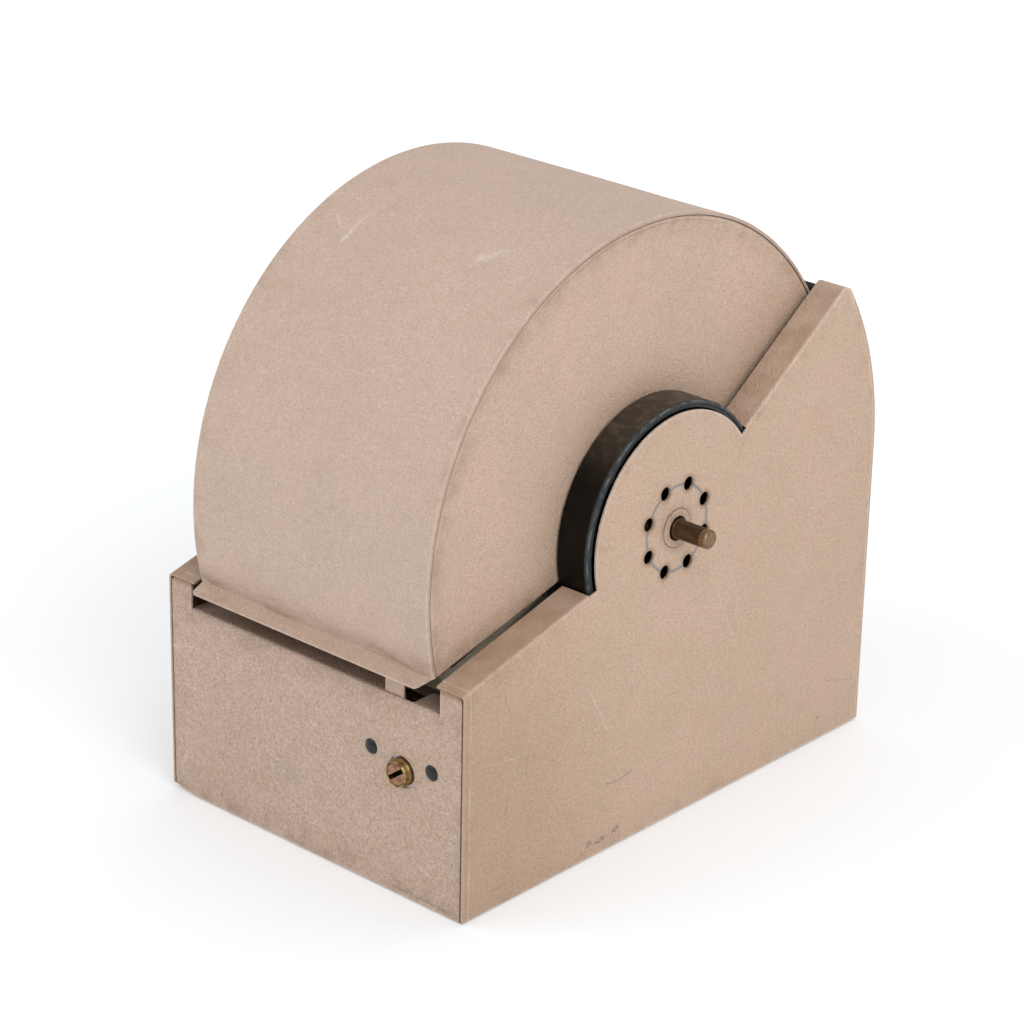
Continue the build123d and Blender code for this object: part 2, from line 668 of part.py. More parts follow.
with BuildPart() as collar_set_screws:
    for x in (-collar_middle, collar_middle):
        with BuildSketch(Plane(origin=(x, hub_y, hub_height + on_axle), z_dir=(0, 0, 1))):
            Circle(1.0)
        extrude(amount=5.5)

with BuildPart() as thrust_washers:
    revolve(ring(on_axle, 9, collar_end + 0.1, cup_floor_x - 1.3), axis=hub_axis)
    revolve(ring(on_axle, 9, -collar_end - 0.5, -collar_end - 0.1), axis=hub_axis)

with BuildPart() as spring_washer:
    # Split and dished, between the left thrust washer and the left bush
    revolve(about_spindle([
        (-collar_end - 0.55, 8.6), (-collar_end - 0.85, 8.6), (-collar_end - 1.2, on_axle + 0.2),
        (-collar_end - 0.9, on_axle + 0.2)]), axis=hub_axis, revolution_arc=350)


def card_outline(outer, tab_middle=None):
    """A card standing straight up from the spindle, in (x, radius), with a T notch for each rail."""
    shoulder = outer if tab_middle is None else card_outer
    with BuildSketch(Plane(origin=hub, x_dir=(1, 0, 0), z_dir=(0, -1, 0))) as outline:
        with Locations((0, (card_inner + shoulder) / 2)):
            RectangleRounded(2 * card_half_width, shoulder - card_inner, 2.5)
        if tab_middle is not None:
            with Locations((tab_middle, shoulder + (outer - shoulder - 3) / 2 - 0.5)):
                RectangleRounded(divider_tab_width, outer - shoulder + 2, 1.8)
            with Locations((tab_middle, shoulder - 1)):
                Rectangle(divider_tab_width, 3)
        for x in (-rail_x, rail_x):
            with Locations((x, (card_inner + rail_inner) / 2 - 0.5)):
                Rectangle(2.4, rail_inner - card_inner + 2, mode=Mode.SUBTRACT)
            with Locations((x, (rail_inner + rail_outer) / 2)):
                Rectangle(6.8, rail_outer - rail_inner + 0.8, mode=Mode.SUBTRACT)
    return outline.sketch


pitch = 360 / dividers
card_step = pitch / (cards_between + 1)

with BuildPart() as one_card:
    extrude(card_outline(card_outer), amount=card_thickness / 2, both=True)

with BuildPart() as index_cards:
    add([one_card.part.rotate(hub_axis, pitch * group + card_step * (card + 1))
         for group in range(dividers) for card in range(cards_between)])

# One kind of divider for each place of its tab
divider_kinds = []
for tab_middle in divider_tabs:
    with BuildPart() as one_divider:
        extrude(card_outline(divider_outer, tab_middle), amount=divider_thickness / 2, both=True)
    divider_kinds.append(one_divider.part)

with BuildPart() as tab_dividers:
    add([divider_kinds[group % len(divider_kinds)].rotate(hub_axis, pitch * group)
         for group in range(dividers)])

# ---- Knob on the far end of the spindle ----

with BuildPart() as knob_left:
    with BuildSketch(side_plane(-spindle_end)):
        Circle(knob_radius)
        with PolarLocations(knob_radius + 0.6, 24):
            Circle(1.9, mode=Mode.SUBTRACT)
    extrude(amount=spindle_end - knob_face)
    chamfer(knob_left.faces().sort_by(Axis.X)[0].edges(), 0.8)
    with BuildSketch(side_plane(-knob_insert_end)):
        Circle(knob_insert_radius)
    extrude(amount=knob_insert_end - knob_face, mode=Mode.SUBTRACT)
    with BuildSketch(side_plane(-detent_bore_end)):
        with Locations(at(detent_start, detent_circle)):
            Circle(ball_radius + 0.1)
    extrude(amount=detent_bore_end - knob_face, mode=Mode.SUBTRACT)
    with BuildSketch(Plane(origin=(-knob_screw_x, hub_y, hub_height), z_dir=(0, 0, 1))):
        Circle(1.6)
    extrude(amount=knob_radius + 2, mode=Mode.SUBTRACT)

with BuildPart() as knob_insert:
    revolve(ring(spindle_radius + 0.02, knob_insert_radius - 0.05, -knob_insert_end, -knob_face),
            axis=hub_axis)
    with BuildSketch(Plane(origin=(-knob_screw_x, hub_y, hub_height), z_dir=(0, 0, 1))):
        Circle(1.6)
    extrude(amount=9, mode=Mode.SUBTRACT)

with BuildPart() as knob_set_screw:
    with BuildSketch(Plane(origin=(-knob_screw_x, hub_y, hub_height + spindle_radius), z_dir=(0, 0, 1))):
        Circle(1.5)
    extrude(amount=12)

ball_x = -(outer_x + ball_gap + ball_radius)
ball_y, ball_z = at(detent_start, detent_circle)

with BuildPart() as detent_ball:
    with Locations((ball_x, hub_y + ball_y, hub_height + ball_z)):
        Sphere(ball_radius)

with BuildPart() as detent_spring:
    # Coil spring behind the ball, its axis along X
    wire = 0.35
    spring_start, spring_end = wire - detent_bore_end, ball_x - 3.2
    with BuildLine() as coil:
        Helix(pitch=1.3, height=spring_end - spring_start, radius=2.4,
              center=(spring_start, hub_y + ball_y, hub_height + ball_z), direction=(1, 0, 0))
    with BuildSketch(Plane(origin=coil.line @ 0, z_dir=coil.line % 0)):
        Circle(wire)
    sweep(path=coil.line, is_frenet=True)

pieces = {
    "right_side_panel": right_side_panel, "left_side_panel": left_side_panel, "front_panel": front_panel,
    "back_panel": back_panel, "bottom_plate": bottom_plate, "bottom_screws": bottom_screws,
    "rubber_feet": rubber_feet, "foot_rivets": foot_rivets, "hub_cup_right": hub_cup_right,
    "hub_cup_left": hub_cup_left, "pivot_collar_right": pivot_collar_right,
    "pivot_collar_left": pivot_collar_left, "collar_screws": collar_screws,
    "cover_stop_pins": cover_stop_pins, "axle_eyelet_right": axle_eyelet_right,
    "axle_eyelet_left": axle_eyelet_left, "axle_bush_right": axle_bush_right,
    "axle_bush_left": axle_bush_left, "lock_mount_plate": lock_mount_plate, "lock_rivets": lock_rivets,
    "lock_barrel": lock_barrel, "lock_nut": lock_nut, "rear_bumper_strip": rear_bumper_strip,
    "lock_plug": lock_plug, "lock_cam": lock_cam, "cam_screw": cam_screw,
    "cover_skin": cover_skin, "cover_side_right": cover_side_right, "cover_side_left": cover_side_left,
    "latch_tab": latch_tab, "cover_rear_stiffener": cover_rear_stiffener,
    "axle": axle, "drum_disc_right": drum_disc_right, "drum_disc_left": drum_disc_left,
    "rail_wheel_right": rail_wheel_right, "rail_wheel_left": rail_wheel_left, "tie_rods": tie_rods,
    "drum_collars": drum_collars, "collar_set_screws": collar_set_screws,
    "thrust_washers": thrust_washers, "spring_washer": spring_washer, "index_cards": index_cards,
    "tab_dividers": tab_dividers, "knob_left": knob_left, "knob_insert": knob_insert,
    "knob_set_screw": knob_set_screw, "detent_ball": detent_ball, "detent_spring": detent_spring,
}

os.makedirs("parts", exist_ok=True)
for name, piece in pieces.items():
    piece.part.label = name
    export_step(piece.part, f"parts/{name}.step")
print(f"spindle at y {hub_y:.3f}, z {hub_height:.3f}; {len(pieces)} nodes")
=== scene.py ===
import json
import math

import bmesh
import bpy
import numpy as np
from mathutils import Matrix, Vector


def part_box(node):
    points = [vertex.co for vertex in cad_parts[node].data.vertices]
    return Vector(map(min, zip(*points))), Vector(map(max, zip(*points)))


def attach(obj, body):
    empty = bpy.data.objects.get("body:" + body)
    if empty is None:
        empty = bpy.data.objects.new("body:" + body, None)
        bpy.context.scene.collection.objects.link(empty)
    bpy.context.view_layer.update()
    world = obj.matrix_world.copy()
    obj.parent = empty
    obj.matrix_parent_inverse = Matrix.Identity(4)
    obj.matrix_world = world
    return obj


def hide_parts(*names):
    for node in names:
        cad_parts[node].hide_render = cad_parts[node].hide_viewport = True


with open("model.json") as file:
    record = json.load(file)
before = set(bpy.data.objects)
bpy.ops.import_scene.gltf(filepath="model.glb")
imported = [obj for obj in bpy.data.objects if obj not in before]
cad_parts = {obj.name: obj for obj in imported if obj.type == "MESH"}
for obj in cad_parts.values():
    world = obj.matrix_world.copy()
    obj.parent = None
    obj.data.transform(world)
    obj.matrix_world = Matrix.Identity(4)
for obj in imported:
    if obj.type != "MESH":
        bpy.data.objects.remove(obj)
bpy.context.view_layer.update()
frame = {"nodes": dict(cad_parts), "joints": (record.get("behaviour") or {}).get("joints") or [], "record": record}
mm = 0.001

# The spindle carries both the drum and the cover, so most pieces are placed about it
joints = {joint["name"]: joint for joint in frame["joints"]}
spindleY, spindleZ = joints["drum_spin"]["pos_m"][1:]
spindleCentre = (0.0, spindleY, spindleZ)
lockX, lockZ = joints["lock_turn"]["pos_m"][0], joints["lock_turn"]["pos_m"][2]
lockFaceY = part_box("lock_plug")[0].y / mm
print("frame loaded,", len(frame["nodes"]), "nodes")


# camera and light

viewpoint = {
    "aim": (-0.0093, 0.0026, 0.1179), "distance": 1.5141,
    "azimuth": 42.055, "elevation": 22.955, "roll": 1.1275, "lens": 118.46}


def placeCamera(view):
    azimuth, elevation = math.radians(view["azimuth"]), math.radians(view["elevation"])
    back = Vector((math.sin(azimuth) * math.cos(elevation), -math.cos(azimuth) * math.cos(elevation),
                   math.sin(elevation)))
    right = Vector((math.cos(azimuth), math.sin(azimuth), 0))
    up = back.cross(right)
    roll = math.radians(view["roll"])
    imageRight = right * math.cos(roll) + up * math.sin(roll)
    imageUp = back.cross(imageRight)
    camera = bpy.data.objects.new("camera", bpy.data.cameras.new("camera"))
    camera.data.lens = view["lens"]
    camera.data.sensor_width = 36
    camera.data.clip_end = 50
    bpy.context.scene.collection.objects.link(camera)
    turn = Matrix((imageRight, imageUp, back)).transposed().to_4x4()
    camera.matrix_world = Matrix.Translation(Vector(view["aim"]) + back * view["distance"]) @ turn
    bpy.context.scene.camera = camera


studio = {
    "domeStrength": 0.60, "domeColor": (1.0, 1.0, 1.0),
    "floorColor": (0.800, 0.826, 0.852), "floorGlow": (0.215, 0.38), "glowReach": (0.25, 0.70),
    "floorHalf": 12.0, "lampAim": (0.0, 0.0, 0.12),
    # name: where it stands, size, power, colour
    "lamps": {
        "keySoftbox": ((1.9, -0.9, 1.9), 1.6, 29, (1.0, 0.97, 0.93)),
        "fillSoftbox": ((-1.6, -1.9, 1.7), 1.9, 15, (0.95, 0.98, 1.0)),
        "topSoftbox": ((0.0, 0.9, 2.5), 1.8, 12, (1.0, 1.0, 1.0)),
    }}


def lightStudio(values):
    scene = bpy.context.scene
    scene.view_settings.view_transform = "Standard"
    world = bpy.data.worlds.new("softDome")
    scene.world = world
    world.use_nodes = True
    dome = world.node_tree.nodes["Background"]
    dome.inputs["Color"].default_value = (*values["domeColor"], 1)
    dome.inputs["Strength"].default_value = values["domeStrength"]
    for name, (place, size, power, color) in values["lamps"].items():
        lamp = bpy.data.objects.new(name, bpy.data.lights.new(name, "AREA"))
        lamp.data.size, lamp.data.energy, lamp.data.color = size, power, color
        lamp.location = place
        lamp.rotation_mode = "QUATERNION"
        lamp.rotation_quaternion = (Vector(place) - Vector(values["lampAim"])).to_track_quat("Z", "Y")
        scene.collection.objects.link(lamp)
    half = values["floorHalf"]
    mesh = bpy.data.meshes.new("studioFloor")
    corners = [(-half, -half, 0), (half, -half, 0), (half, half, 0), (-half, half, 0)]
    mesh.from_pydata(corners, [], [(0, 1, 2, 3)])
    floor = bpy.data.objects.new("studioFloor", mesh)
    scene.collection.objects.link(floor)
    paper = bpy.data.materials.new("studioPaper")
    paper.use_nodes = True
    shader = paper.node_tree.nodes["Principled BSDF"]
    shader.inputs["Base Color"].default_value = (*values["floorColor"], 1)
    shader.inputs["Roughness"].default_value = 0.9
    shader.inputs["Specular IOR Level"].default_value = 0.1
    shader.inputs["Emission Color"].default_value = (1, 1, 1, 1)
    # The paper glows a little more away from the object, as a lit sweep does
    nodes, links = paper.node_tree.nodes, paper.node_tree.links
    place, distance, glow = (nodes.new(kind) for kind in (
        "ShaderNodeTexCoord", "ShaderNodeVectorMath", "ShaderNodeMapRange"))
    distance.operation = "LENGTH"
    glow.inputs["From Min"].default_value, glow.inputs["From Max"].default_value = values["glowReach"]
    glow.inputs["To Min"].default_value, glow.inputs["To Max"].default_value = values["floorGlow"]
    links.new(place.outputs["Object"], distance.inputs[0])
    links.new(distance.outputs["Value"], glow.inputs["Value"])
    links.new(glow.outputs[0], shader.inputs["Emission Strength"])
    mesh.materials.append(paper)


placeCamera(viewpoint)
lightStudio(studio)
print("camera and light placed")


# shader building

# Writes a material's node tree as sums and products of sockets. Lengths inside are millimetres.
class Graph:
    def __init__(self, name):
        self.material = bpy.data.materials.new(name)
        self.material.use_nodes = True
        self.tree = self.material.node_tree
        self.shader = self.tree.nodes["Principled BSDF"]
        place = self.add("ShaderNodeTexCoord").outputs["Object"]
        scaled = self.add("ShaderNodeVectorMath", operation="SCALE")
        self.tree.links.new(place, scaled.inputs[0])
        scaled.inputs["Scale"].default_value = 1 / mm
        self.place = scaled.outputs[0]
        split = self.add("ShaderNodeSeparateXYZ")
        self.tree.links.new(self.place, split.inputs[0])
        self.x, self.y, self.z = split.outputs
        self.about = None

    def add(self, kind, **settings):
        made = self.tree.nodes.new(kind)
        for key, value in settings.items():
            setattr(made, key, value)
        return made

    def plug(self, value, socket):
        if isinstance(value, bpy.types.NodeSocket):
            self.tree.links.new(value, socket)
        else:
            socket.default_value = value

    def calc(self, operation, *values, clamp=False):
        made = self.add("ShaderNodeMath", operation=operation, use_clamp=clamp)
        for value, socket in zip(values, made.inputs):
            self.plug(value, socket)
        return made.outputs[0]

    def sum(self, a, b):
        return self.calc("ADD", a, b)

    def less(self, a, b):
        return self.calc("SUBTRACT", a, b)

    def times(self, a, b):
        return self.calc("MULTIPLY", a, b)

    def smallest(self, *values):
        result = values[0]
        for value in values[1:]:
            result = self.calc("MINIMUM", result, value)
        return result

    def largest(self, *values):
        result = values[0]
        for value in values[1:]:
            result = self.calc("MAXIMUM", result, value)
        return result

    # Smooth step of value from low at start to high at end.
    def ramp(self, value, start, end, low=0.0, high=1.0):
        made = self.add("ShaderNodeMapRange", interpolation_type="SMOOTHSTEP")
        settings = {"Value": value, "From Min": start, "From Max": end, "To Min": low, "To Max": high}
        for name, setting in settings.items():
            self.plug(setting, made.inputs[name])
        return made.outputs[0]

    # 1 where value is within inner of middle, falling smoothly to 0 where it is outer away from it.
    def band(self, value, middle, outer, inner):
        return self.ramp(self.calc("ABSOLUTE", self.less(value, middle)), outer, inner)

    # Noise from 0 to 1 whose lumps are about size millimetres across, longer where stretch is above 1.
    def noise(self, size, detail=2.0, stretch=(1, 1, 1), shift=0.0, rough=0.5):
        mapping = self.add("ShaderNodeMapping")
        self.plug(self.place, mapping.inputs["Vector"])
        mapping.inputs["Scale"].default_value = [1 / (size * s) for s in stretch]
        mapping.inputs["Location"].default_value = (shift, shift * 0.7, shift * 1.3)
        made = self.add("ShaderNodeTexNoise")
        made.inputs["Scale"].default_value = 1.0
        made.inputs["Detail"].default_value = detail
        made.inputs["Roughness"].default_value = rough
        self.plug(mapping.outputs[0], made.inputs["Vector"])
        return made.outputs["Fac"]

    # Colour under, covered by colour over as far as amount says.
    def tint(self, under, over, amount):
        made = self.add("ShaderNodeMix", data_type="RGBA")
        made.clamp_factor = True
        self.plug(amount, made.inputs[0])
        for value, socket in ((under, made.inputs[6]), (over, made.inputs[7])):
            self.plug(value if isinstance(value, bpy.types.NodeSocket) else (*value, 1), socket)
        return made.outputs[2]

    # Colour under multiplied by factor as far as amount says, so that the grain stays visible.
    def dull(self, under, factor, amount):
        made = self.add("ShaderNodeMix", data_type="RGBA", blend_type="MULTIPLY")
        self.plug(amount, made.inputs[0])
        self.plug(under, made.inputs[6])
        self.plug((*factor, 1), made.inputs[7])
        return made.outputs[2]

    # Ink over a colour where mask says, broken up by a noise of (size, detail, shift) ramped between limits.
    def patchy(self, color, ink, mask, cloud, limits):
        size, detail, shift = cloud
        broken = self.ramp(self.noise(size, detail, shift=shift), *limits)
        return self.tint(color, ink, self.times(mask, broken))

    # Height above the spindle, depth behind it, distance from it and angle about it, in degrees.
    def aroundSpindle(self):
        if self.about is None:
            back = self.less(self.y, spindleY / mm)
            up = self.less(self.z, spindleZ / mm)
            radius = self.calc("SQRT", self.sum(self.times(back, back), self.times(up, up)))
            angle = self.times(self.calc("ARCTAN2", up, back), 180 / math.pi)
            angle = self.sum(angle, self.times(self.calc("LESS_THAN", angle, -90.0), 360.0))
            self.about = (up, back, radius, angle)
        return self.about

    # 1 along the straight line between two points of a panel's own (u, v) plane, 0 at width and beyond. The
    # distance is taken to the nearest point of the line, which is found by clamping its share along it.
    def streak(self, u, v, ends, width):
        u0, v0, u1, v1 = ends
        du, dv = u1 - u0, v1 - v0
        length = max(du * du + dv * dv, 1e-6)
        fromU, fromV = self.less(u, u0), self.less(v, v0)
        share = self.calc("MULTIPLY_ADD", fromU, du / length, self.times(fromV, dv / length), clamp=True)
        offU = self.less(fromU, self.times(share, du))
        offV = self.less(fromV, self.times(share, dv))
        distance = self.calc("SQRT", self.sum(self.times(offU, offU), self.times(offV, offV)))
        return self.ramp(distance, width, 0.0)

    # Scratches and rubs from a list of (ends, width, tone, strength), broken up by a fine noise.
    def marks(self, color, u, v, listed, where=1.0, power=1.0):
        ragged = self.noise(1.1, 3, shift=23)
        wander = self.times(self.less(self.noise(7.0, 2, shift=29), 0.5), 1.6)
        u, v = self.sum(u, wander), self.sum(v, wander)
        broken = {tone: self.times(self.ramp(ragged, low, low + 0.16), where)
                  for tone, low in (("scuff", 0.36), ("grime", 0.40))}
        for ends, width, tone, strength in listed:
            amount = self.times(self.times(self.streak(u, v, ends, width), broken[tone]), strength * power)
            color = self.tint(color, enamel[tone], amount)
        return color

    def bump(self, height, distance, strength=1.0, under=None):
        made = self.add("ShaderNodeBump")
        made.inputs["Strength"].default_value = strength
        made.inputs["Distance"].default_value = distance
        self.plug(height, made.inputs["Height"])
        if under is not None:
            self.plug(under, made.inputs["Normal"])
        return made.outputs[0]

    def finish(self, color=None, rough=None, normal=None, metal=None):
        given = {"Base Color": color, "Roughness": rough, "Normal": normal, "Metallic": metal}
        for name, value in given.items():
            if value is not None:
                if isinstance(value, tuple):
                    value = (*value, 1)
                self.plug(value, self.shader.inputs[name])
        return self.material


# enamel: one pinkish tan coat, worn differently on each panel

enamel = {
    "coat": (0.570, 0.421, 0.330), "rosy": (0.600, 0.438, 0.350), "shade": (0.470, 0.330, 0.243),
    "wearAndHighlight": (0.740, 0.620, 0.540), "stainAndShade": (0.290, 0.180, 0.115), "grime": (0.105, 0.080, 0.062),
    "pale": (0.690, 0.545, 0.450), "flange": (0.420, 0.285, 0.200), "scuff": (0.720, 0.630, 0.560),
    "roughness": 0.56, "shine": 0.42, "scratches": 0.5,
    "grain": 0.88, "grainHeight": 1.4}  # size and height of the wrinkles in millimetres


outline = {
    # front panel: height of the shelf, half width of the notch, height of the cheeks, half width
    "shelf": 93.0, "notchHalf": 75.0, "cheekTop": 105.0, "frontHalf": 88.0,
    # side panels: slopes in degrees about the spindle, radius of the arch, reach behind and in front of it
    "frontSlope": 194.9, "rearSlope": 35.7, "arch": 52.4, "rearReach": 139.3, "frontReach": 131.5,
    # cover: half width, radius of the lip's edge, radius of its ends, angle of its front edge
    "coverHalf": 69.8, "lipRadius": 143.2, "endRadius": 133.3, "coverFront": 194.8,
    # the eight holes about the spindle
    "holeCircle": 19.85, "firstHole": 24.6, "holeRadius": 3.2}


# Millimetres inside the front panel's outline: below the shelf, or within a cheek beside the notch.
def frontPanelEdge(g):
    across = g.calc("ABSOLUTE", g.x)
    below = g.less(outline["shelf"], g.z)
    cheek = g.smallest(g.less(across, outline["notchHalf"]), g.less(outline["cheekTop"], g.z))
    return g.smallest(g.largest(below, cheek), g.less(outline["frontHalf"], across), g.less(g.z, 1.0))


# Millimetres inside a side panel's outline: under the front or rear slope, or within the arch.
def sidePanelEdge(g):
    up, back, radius, angle = g.aroundSpindle()
    slopes = []
    for slope, side in ((outline["frontSlope"], 1), (outline["rearSlope"], -1)):
        turn = math.radians(slope)
        slopes.append(g.times(g.less(g.times(up, math.cos(turn)), g.times(back, math.sin(turn))), side))
    top = g.largest(*slopes, g.less(outline["arch"], radius))
    rear = g.less(outline["rearReach"], g.largest(back, g.times(radius, g.ramp(up, -0.5, 0.5))))
    return g.smallest(top, g.less(g.z, 1.0), g.sum(back, outline["frontReach"]), rear)


# Millimetres from the cover skin's nearest edge: its two sides, and the lip's edge.
def skinEdge(g):
    up, back, radius, angle = g.aroundSpindle()
    return g.smallest(g.less(outline["coverHalf"], g.calc("ABSOLUTE", g.x)),
                      g.less(outline["lipRadius"], radius))


# Millimetres inside a cover end's outline: the round rim and the straight front edge.
def coverEndEdge(g):
    up, back, radius, angle = g.aroundSpindle()
    turn = math.radians(outline["coverFront"])
    front = g.less(g.times(up, math.cos(turn)), g.times(back, math.sin(turn)))
    return g.smallest(g.less(outline["endRadius"], radius), g.calc("ABSOLUTE", front))


def plainEdge(g):
    return 20.0  # no edge within reach of the wear


# Wrinkled stove enamel: blotchy coat, grain as bump, lighter worn edges, scratches and stains.
def paint(name, edgeOf, coatTone, edgeWear=0.55, edgeWidth=1.1, dirt=0.3, grain=1.0, extras=None):
    g = Graph(name)
    values = enamel
    blotch = g.ramp(g.noise(38, 3), 0.35, 0.70)
    coat, rosy, shade, pale = (
        [a * b for a, b in zip(values[key], coatTone)] for key in ("coat", "rosy", "shade", "pale"))
    color = g.tint(coat, rosy, blotch)
    color = g.tint(color, shade, g.times(g.ramp(g.noise(17, 4, shift=9), 0.52, 0.80), 0.28))
    fine = g.noise(values["grain"], 2.0, shift=3)
    coarse = g.noise(values["grain"] * 2.1, 2.0, shift=13)
    relief = g.sum(g.times(fine, 0.72), g.times(coarse, 0.28))
    color = g.tint(color, shade, g.ramp(relief, 0.51, 0.36, 0.0, 0.85 * grain))
    color = g.tint(color, pale, g.ramp(relief, 0.53, 0.66, 0.0, 0.85 * grain))
    edge = edgeOf(g)
    ragged = g.sum(edge, g.times(g.less(g.noise(3.0, 3, shift=5), 0.5), 1.6))
    halo = g.ramp(edge, 11.0, 0.0)
    patches = g.times(halo, g.ramp(g.noise(9, 4, shift=21), 0.45, 0.75))
    color = g.tint(color, values["stainAndShade"], g.times(patches, dirt))
    color = g.tint(color, values["wearAndHighlight"], g.times(g.ramp(ragged, edgeWidth, edgeWidth * 0.25), edgeWear))
    # Long thin scratches in three directions, light and dark
    for count, (stretch, ink, limit) in enumerate((
            ((26, 1.0, 3.0), "scuff", 0.735), ((1.0, 3.0, 30), "scuff", 0.74),
            ((6, 22, 18), "grime", 0.765))):
        lines = g.noise(0.55, 1.5, stretch=stretch, shift=31.0 + 17 * count)
        region = g.ramp(g.noise(60, 2, shift=50.0 + 11 * count), 0.50, 0.66)
        streak = g.times(g.ramp(lines, limit, limit + 0.06), g.times(region, values["scratches"]))
        color = g.tint(color, values[ink], streak)
    flecks = g.ramp(g.noise(1.6, 2, shift=77), 0.775, 0.81)
    color = g.tint(color, values["grime"], g.times(flecks, 0.4 * dirt))
    rough = g.ramp(g.noise(24, 3, shift=14), 0.3, 0.7, values["roughness"] - 0.06, values["roughness"] + 0.06)
    if extras:
        color, rough = extras(g, color, rough)
    wave = g.bump(g.noise(70, 1, shift=2), 0.0007, 0.35)
    normal = g.bump(relief, values["grainHeight"] * mm, grain, under=wave)
    g.shader.inputs["Specular IOR Level"].default_value = values["shine"]
    return g.finish(color, rough, normal)


# Folded flanges browned by dirt and by painted shade; the detent ball's bare track through the eight holes, dirt
# round each hole and the spindle, painted shade and highlights on the eyelet, painted shade towards the front
# and bottom and round the front bend, and smudges.
def sideMarks(g, color, rough):
    up, back, radius, angle = g.aroundSpindle()
    # Folded flanges: brown dirt and painted shade of the corner where the cover end rises beside them
    flange = g.ramp(g.calc("ABSOLUTE", g.x), 88.2, 86.4)
    brown = g.ramp(g.noise(12, 4, shift=61), 0.3, 0.7, 0.55, 1.0)
    color = g.tint(color, enamel["flange"], g.times(flange, brown))
    # Folding the angle eight times lays all the holes over one another
    fold = g.calc("PINGPONG", g.sum(angle, 720 - outline["firstHole"]), 22.5)
    turn = g.times(fold, math.pi / 180)
    across = g.less(g.times(radius, g.calc("COSINE", turn)), outline["holeCircle"])
    along = g.times(radius, g.calc("SINE", turn))
    toHole = g.calc("SQRT", g.sum(g.times(across, across), g.times(along, along)))
    color = g.tint(color, enamel["stainAndShade"], g.ramp(toHole, 5.6, outline["holeRadius"], 0.0, 0.60))
    # Painted shade in the crease where the eyelet's flange meets the panel, as a patchy brown ring
    eyeletCreaseShade = g.band(radius, 8.85, 0.55, 0.15)
    color = g.patchy(color, enamel["stainAndShade"], eyeletCreaseShade, (4, 3, 18), (0.3, 0.6, 0.6, 1.0))
    # Painted highlights: pale bands on the eyelet's flange rim and on its rolled lip
    color = g.tint(color, enamel["wearAndHighlight"], g.times(g.band(radius, 8.1, 0.5, 0.1), 0.6))
    color = g.tint(color, enamel["wearAndHighlight"], g.times(g.band(radius, 6.0, 0.45, 0.1), 0.5))
    smudge = g.ramp(g.noise(5, 3, shift=8), 0.3, 0.7, 0.2, 0.6)
    color = g.tint(color, enamel["stainAndShade"], g.times(g.ramp(radius, 12.5, 8.4), smudge))
    trackRadius = g.sum(19.75, g.times(g.less(g.noise(6, 2, shift=4), 0.5), 0.5))
    offTrack = g.calc("ABSOLUTE", g.less(radius, trackRadius))
    track = g.times(g.ramp(offTrack, 0.72, 0.30), g.ramp(g.noise(7, 2, shift=40), 0.25, 0.42, 0.35, 1.0))
    rust = g.times(g.ramp(offTrack, 1.5, 0.6), 0.25)
    color = g.tint(color, enamel["stainAndShade"], rust)
    color = g.tint(color, (0.215, 0.225, 0.235), track)
    rough = g.less(rough, g.times(track, 0.2))
    # Painted shade: the side panel darkens towards its front edge and towards its bottom
    frontAndLowShade = g.ramp(g.sum(g.y, g.times(g.z, 0.25)), 0.0, -110.0)
    color = g.dull(color, (0.84, 0.80, 0.76), frontAndLowShade)
    # Folded front edge: painted shade in brown for a rounded bend the flat sheet doesn't have, with a pale line
    # where it meets the flat side, partly painted highlight and partly worn paint
    bendShade = g.ramp(g.y, -129.2, -130.0)
    color = g.tint(color, enamel["flange"], g.times(bendShade, 0.45))
    ridgeHighlightAndWear = g.band(g.y, -128.8, 0.65, 0.15)
    color = g.patchy(color, enamel["wearAndHighlight"], ridgeHighlightAndWear, (5, 3, 37), (0.35, 0.6, 0.05, 0.35))
    right = g.calc("GREATER_THAN", g.x, 88.0)
    return g.marks(color, g.y, g.z, sideScratches, right, 0.75), rough


# Each mark: its two ends as (y, z), its half width, its tone and its strength
sideScratches = [
    ((-42.8, 33.1, -33.0, 31.8), 0.75, "grime", 0.7), ((-33.0, 31.8, -25.1, 33.6), 0.75, "grime", 0.8),
    ((113.1, 29.0, 134.1, 22.8), 0.70, "grime", 0.5), ((-73.1, 85.7, -74.2, 78.8), 0.55, "grime", 0.55),
    ((-108.3, 98.7, -104.1, 85.0), 0.55, "grime", 0.5), ((-94.0, 66.8, -94.2, 55.2), 0.55, "grime", 0.55),
    ((-60.5, 62.2, -58.4, 65.7), 0.55, "grime", 0.5), ((-31.4, 75.9, -23.1, 73.0), 0.8, "grime", 0.35),
    ((-107.1, 42.5, -105.4, 50.8), 0.9, "grime", 0.5), ((-114.9, 9.9, -105.0, 9.8), 0.55, "grime", 0.5),
    ((30.6, 99.9, 32.1, 93.3), 0.9, "scuff", 0.6), ((35.6, 89.2, 43.5, 69.7), 0.6, "scuff", 0.5),
    ((-83.9, 116.9, -90.2, 100.3), 0.6, "scuff", 0.35), ((-55.1, 82.5, -43.0, 60.3), 0.6, "scuff", 0.6),
    ((-43.0, 60.3, -38.9, 59.7), 0.6, "scuff", 0.5), ((-123.7, 70.5, -92.0, 66.1), 0.5, "scuff", 0.4),
    ((40.6, 16.2, 35.3, 11.9), 0.6, "scuff", 0.5), ((-52.9, 7.2, -51.9, 8.0), 2.4, "grime", 1.0),
    ((-47.0, 7.0, -42.4, 7.4), 2.1, "grime", 0.95), ((-37.1, 7.6, -33.8, 9.2), 2.0, "grime", 0.95),
    ((-58.1, 3.5, -57.1, 4.4), 1.4, "grime", 0.6)]
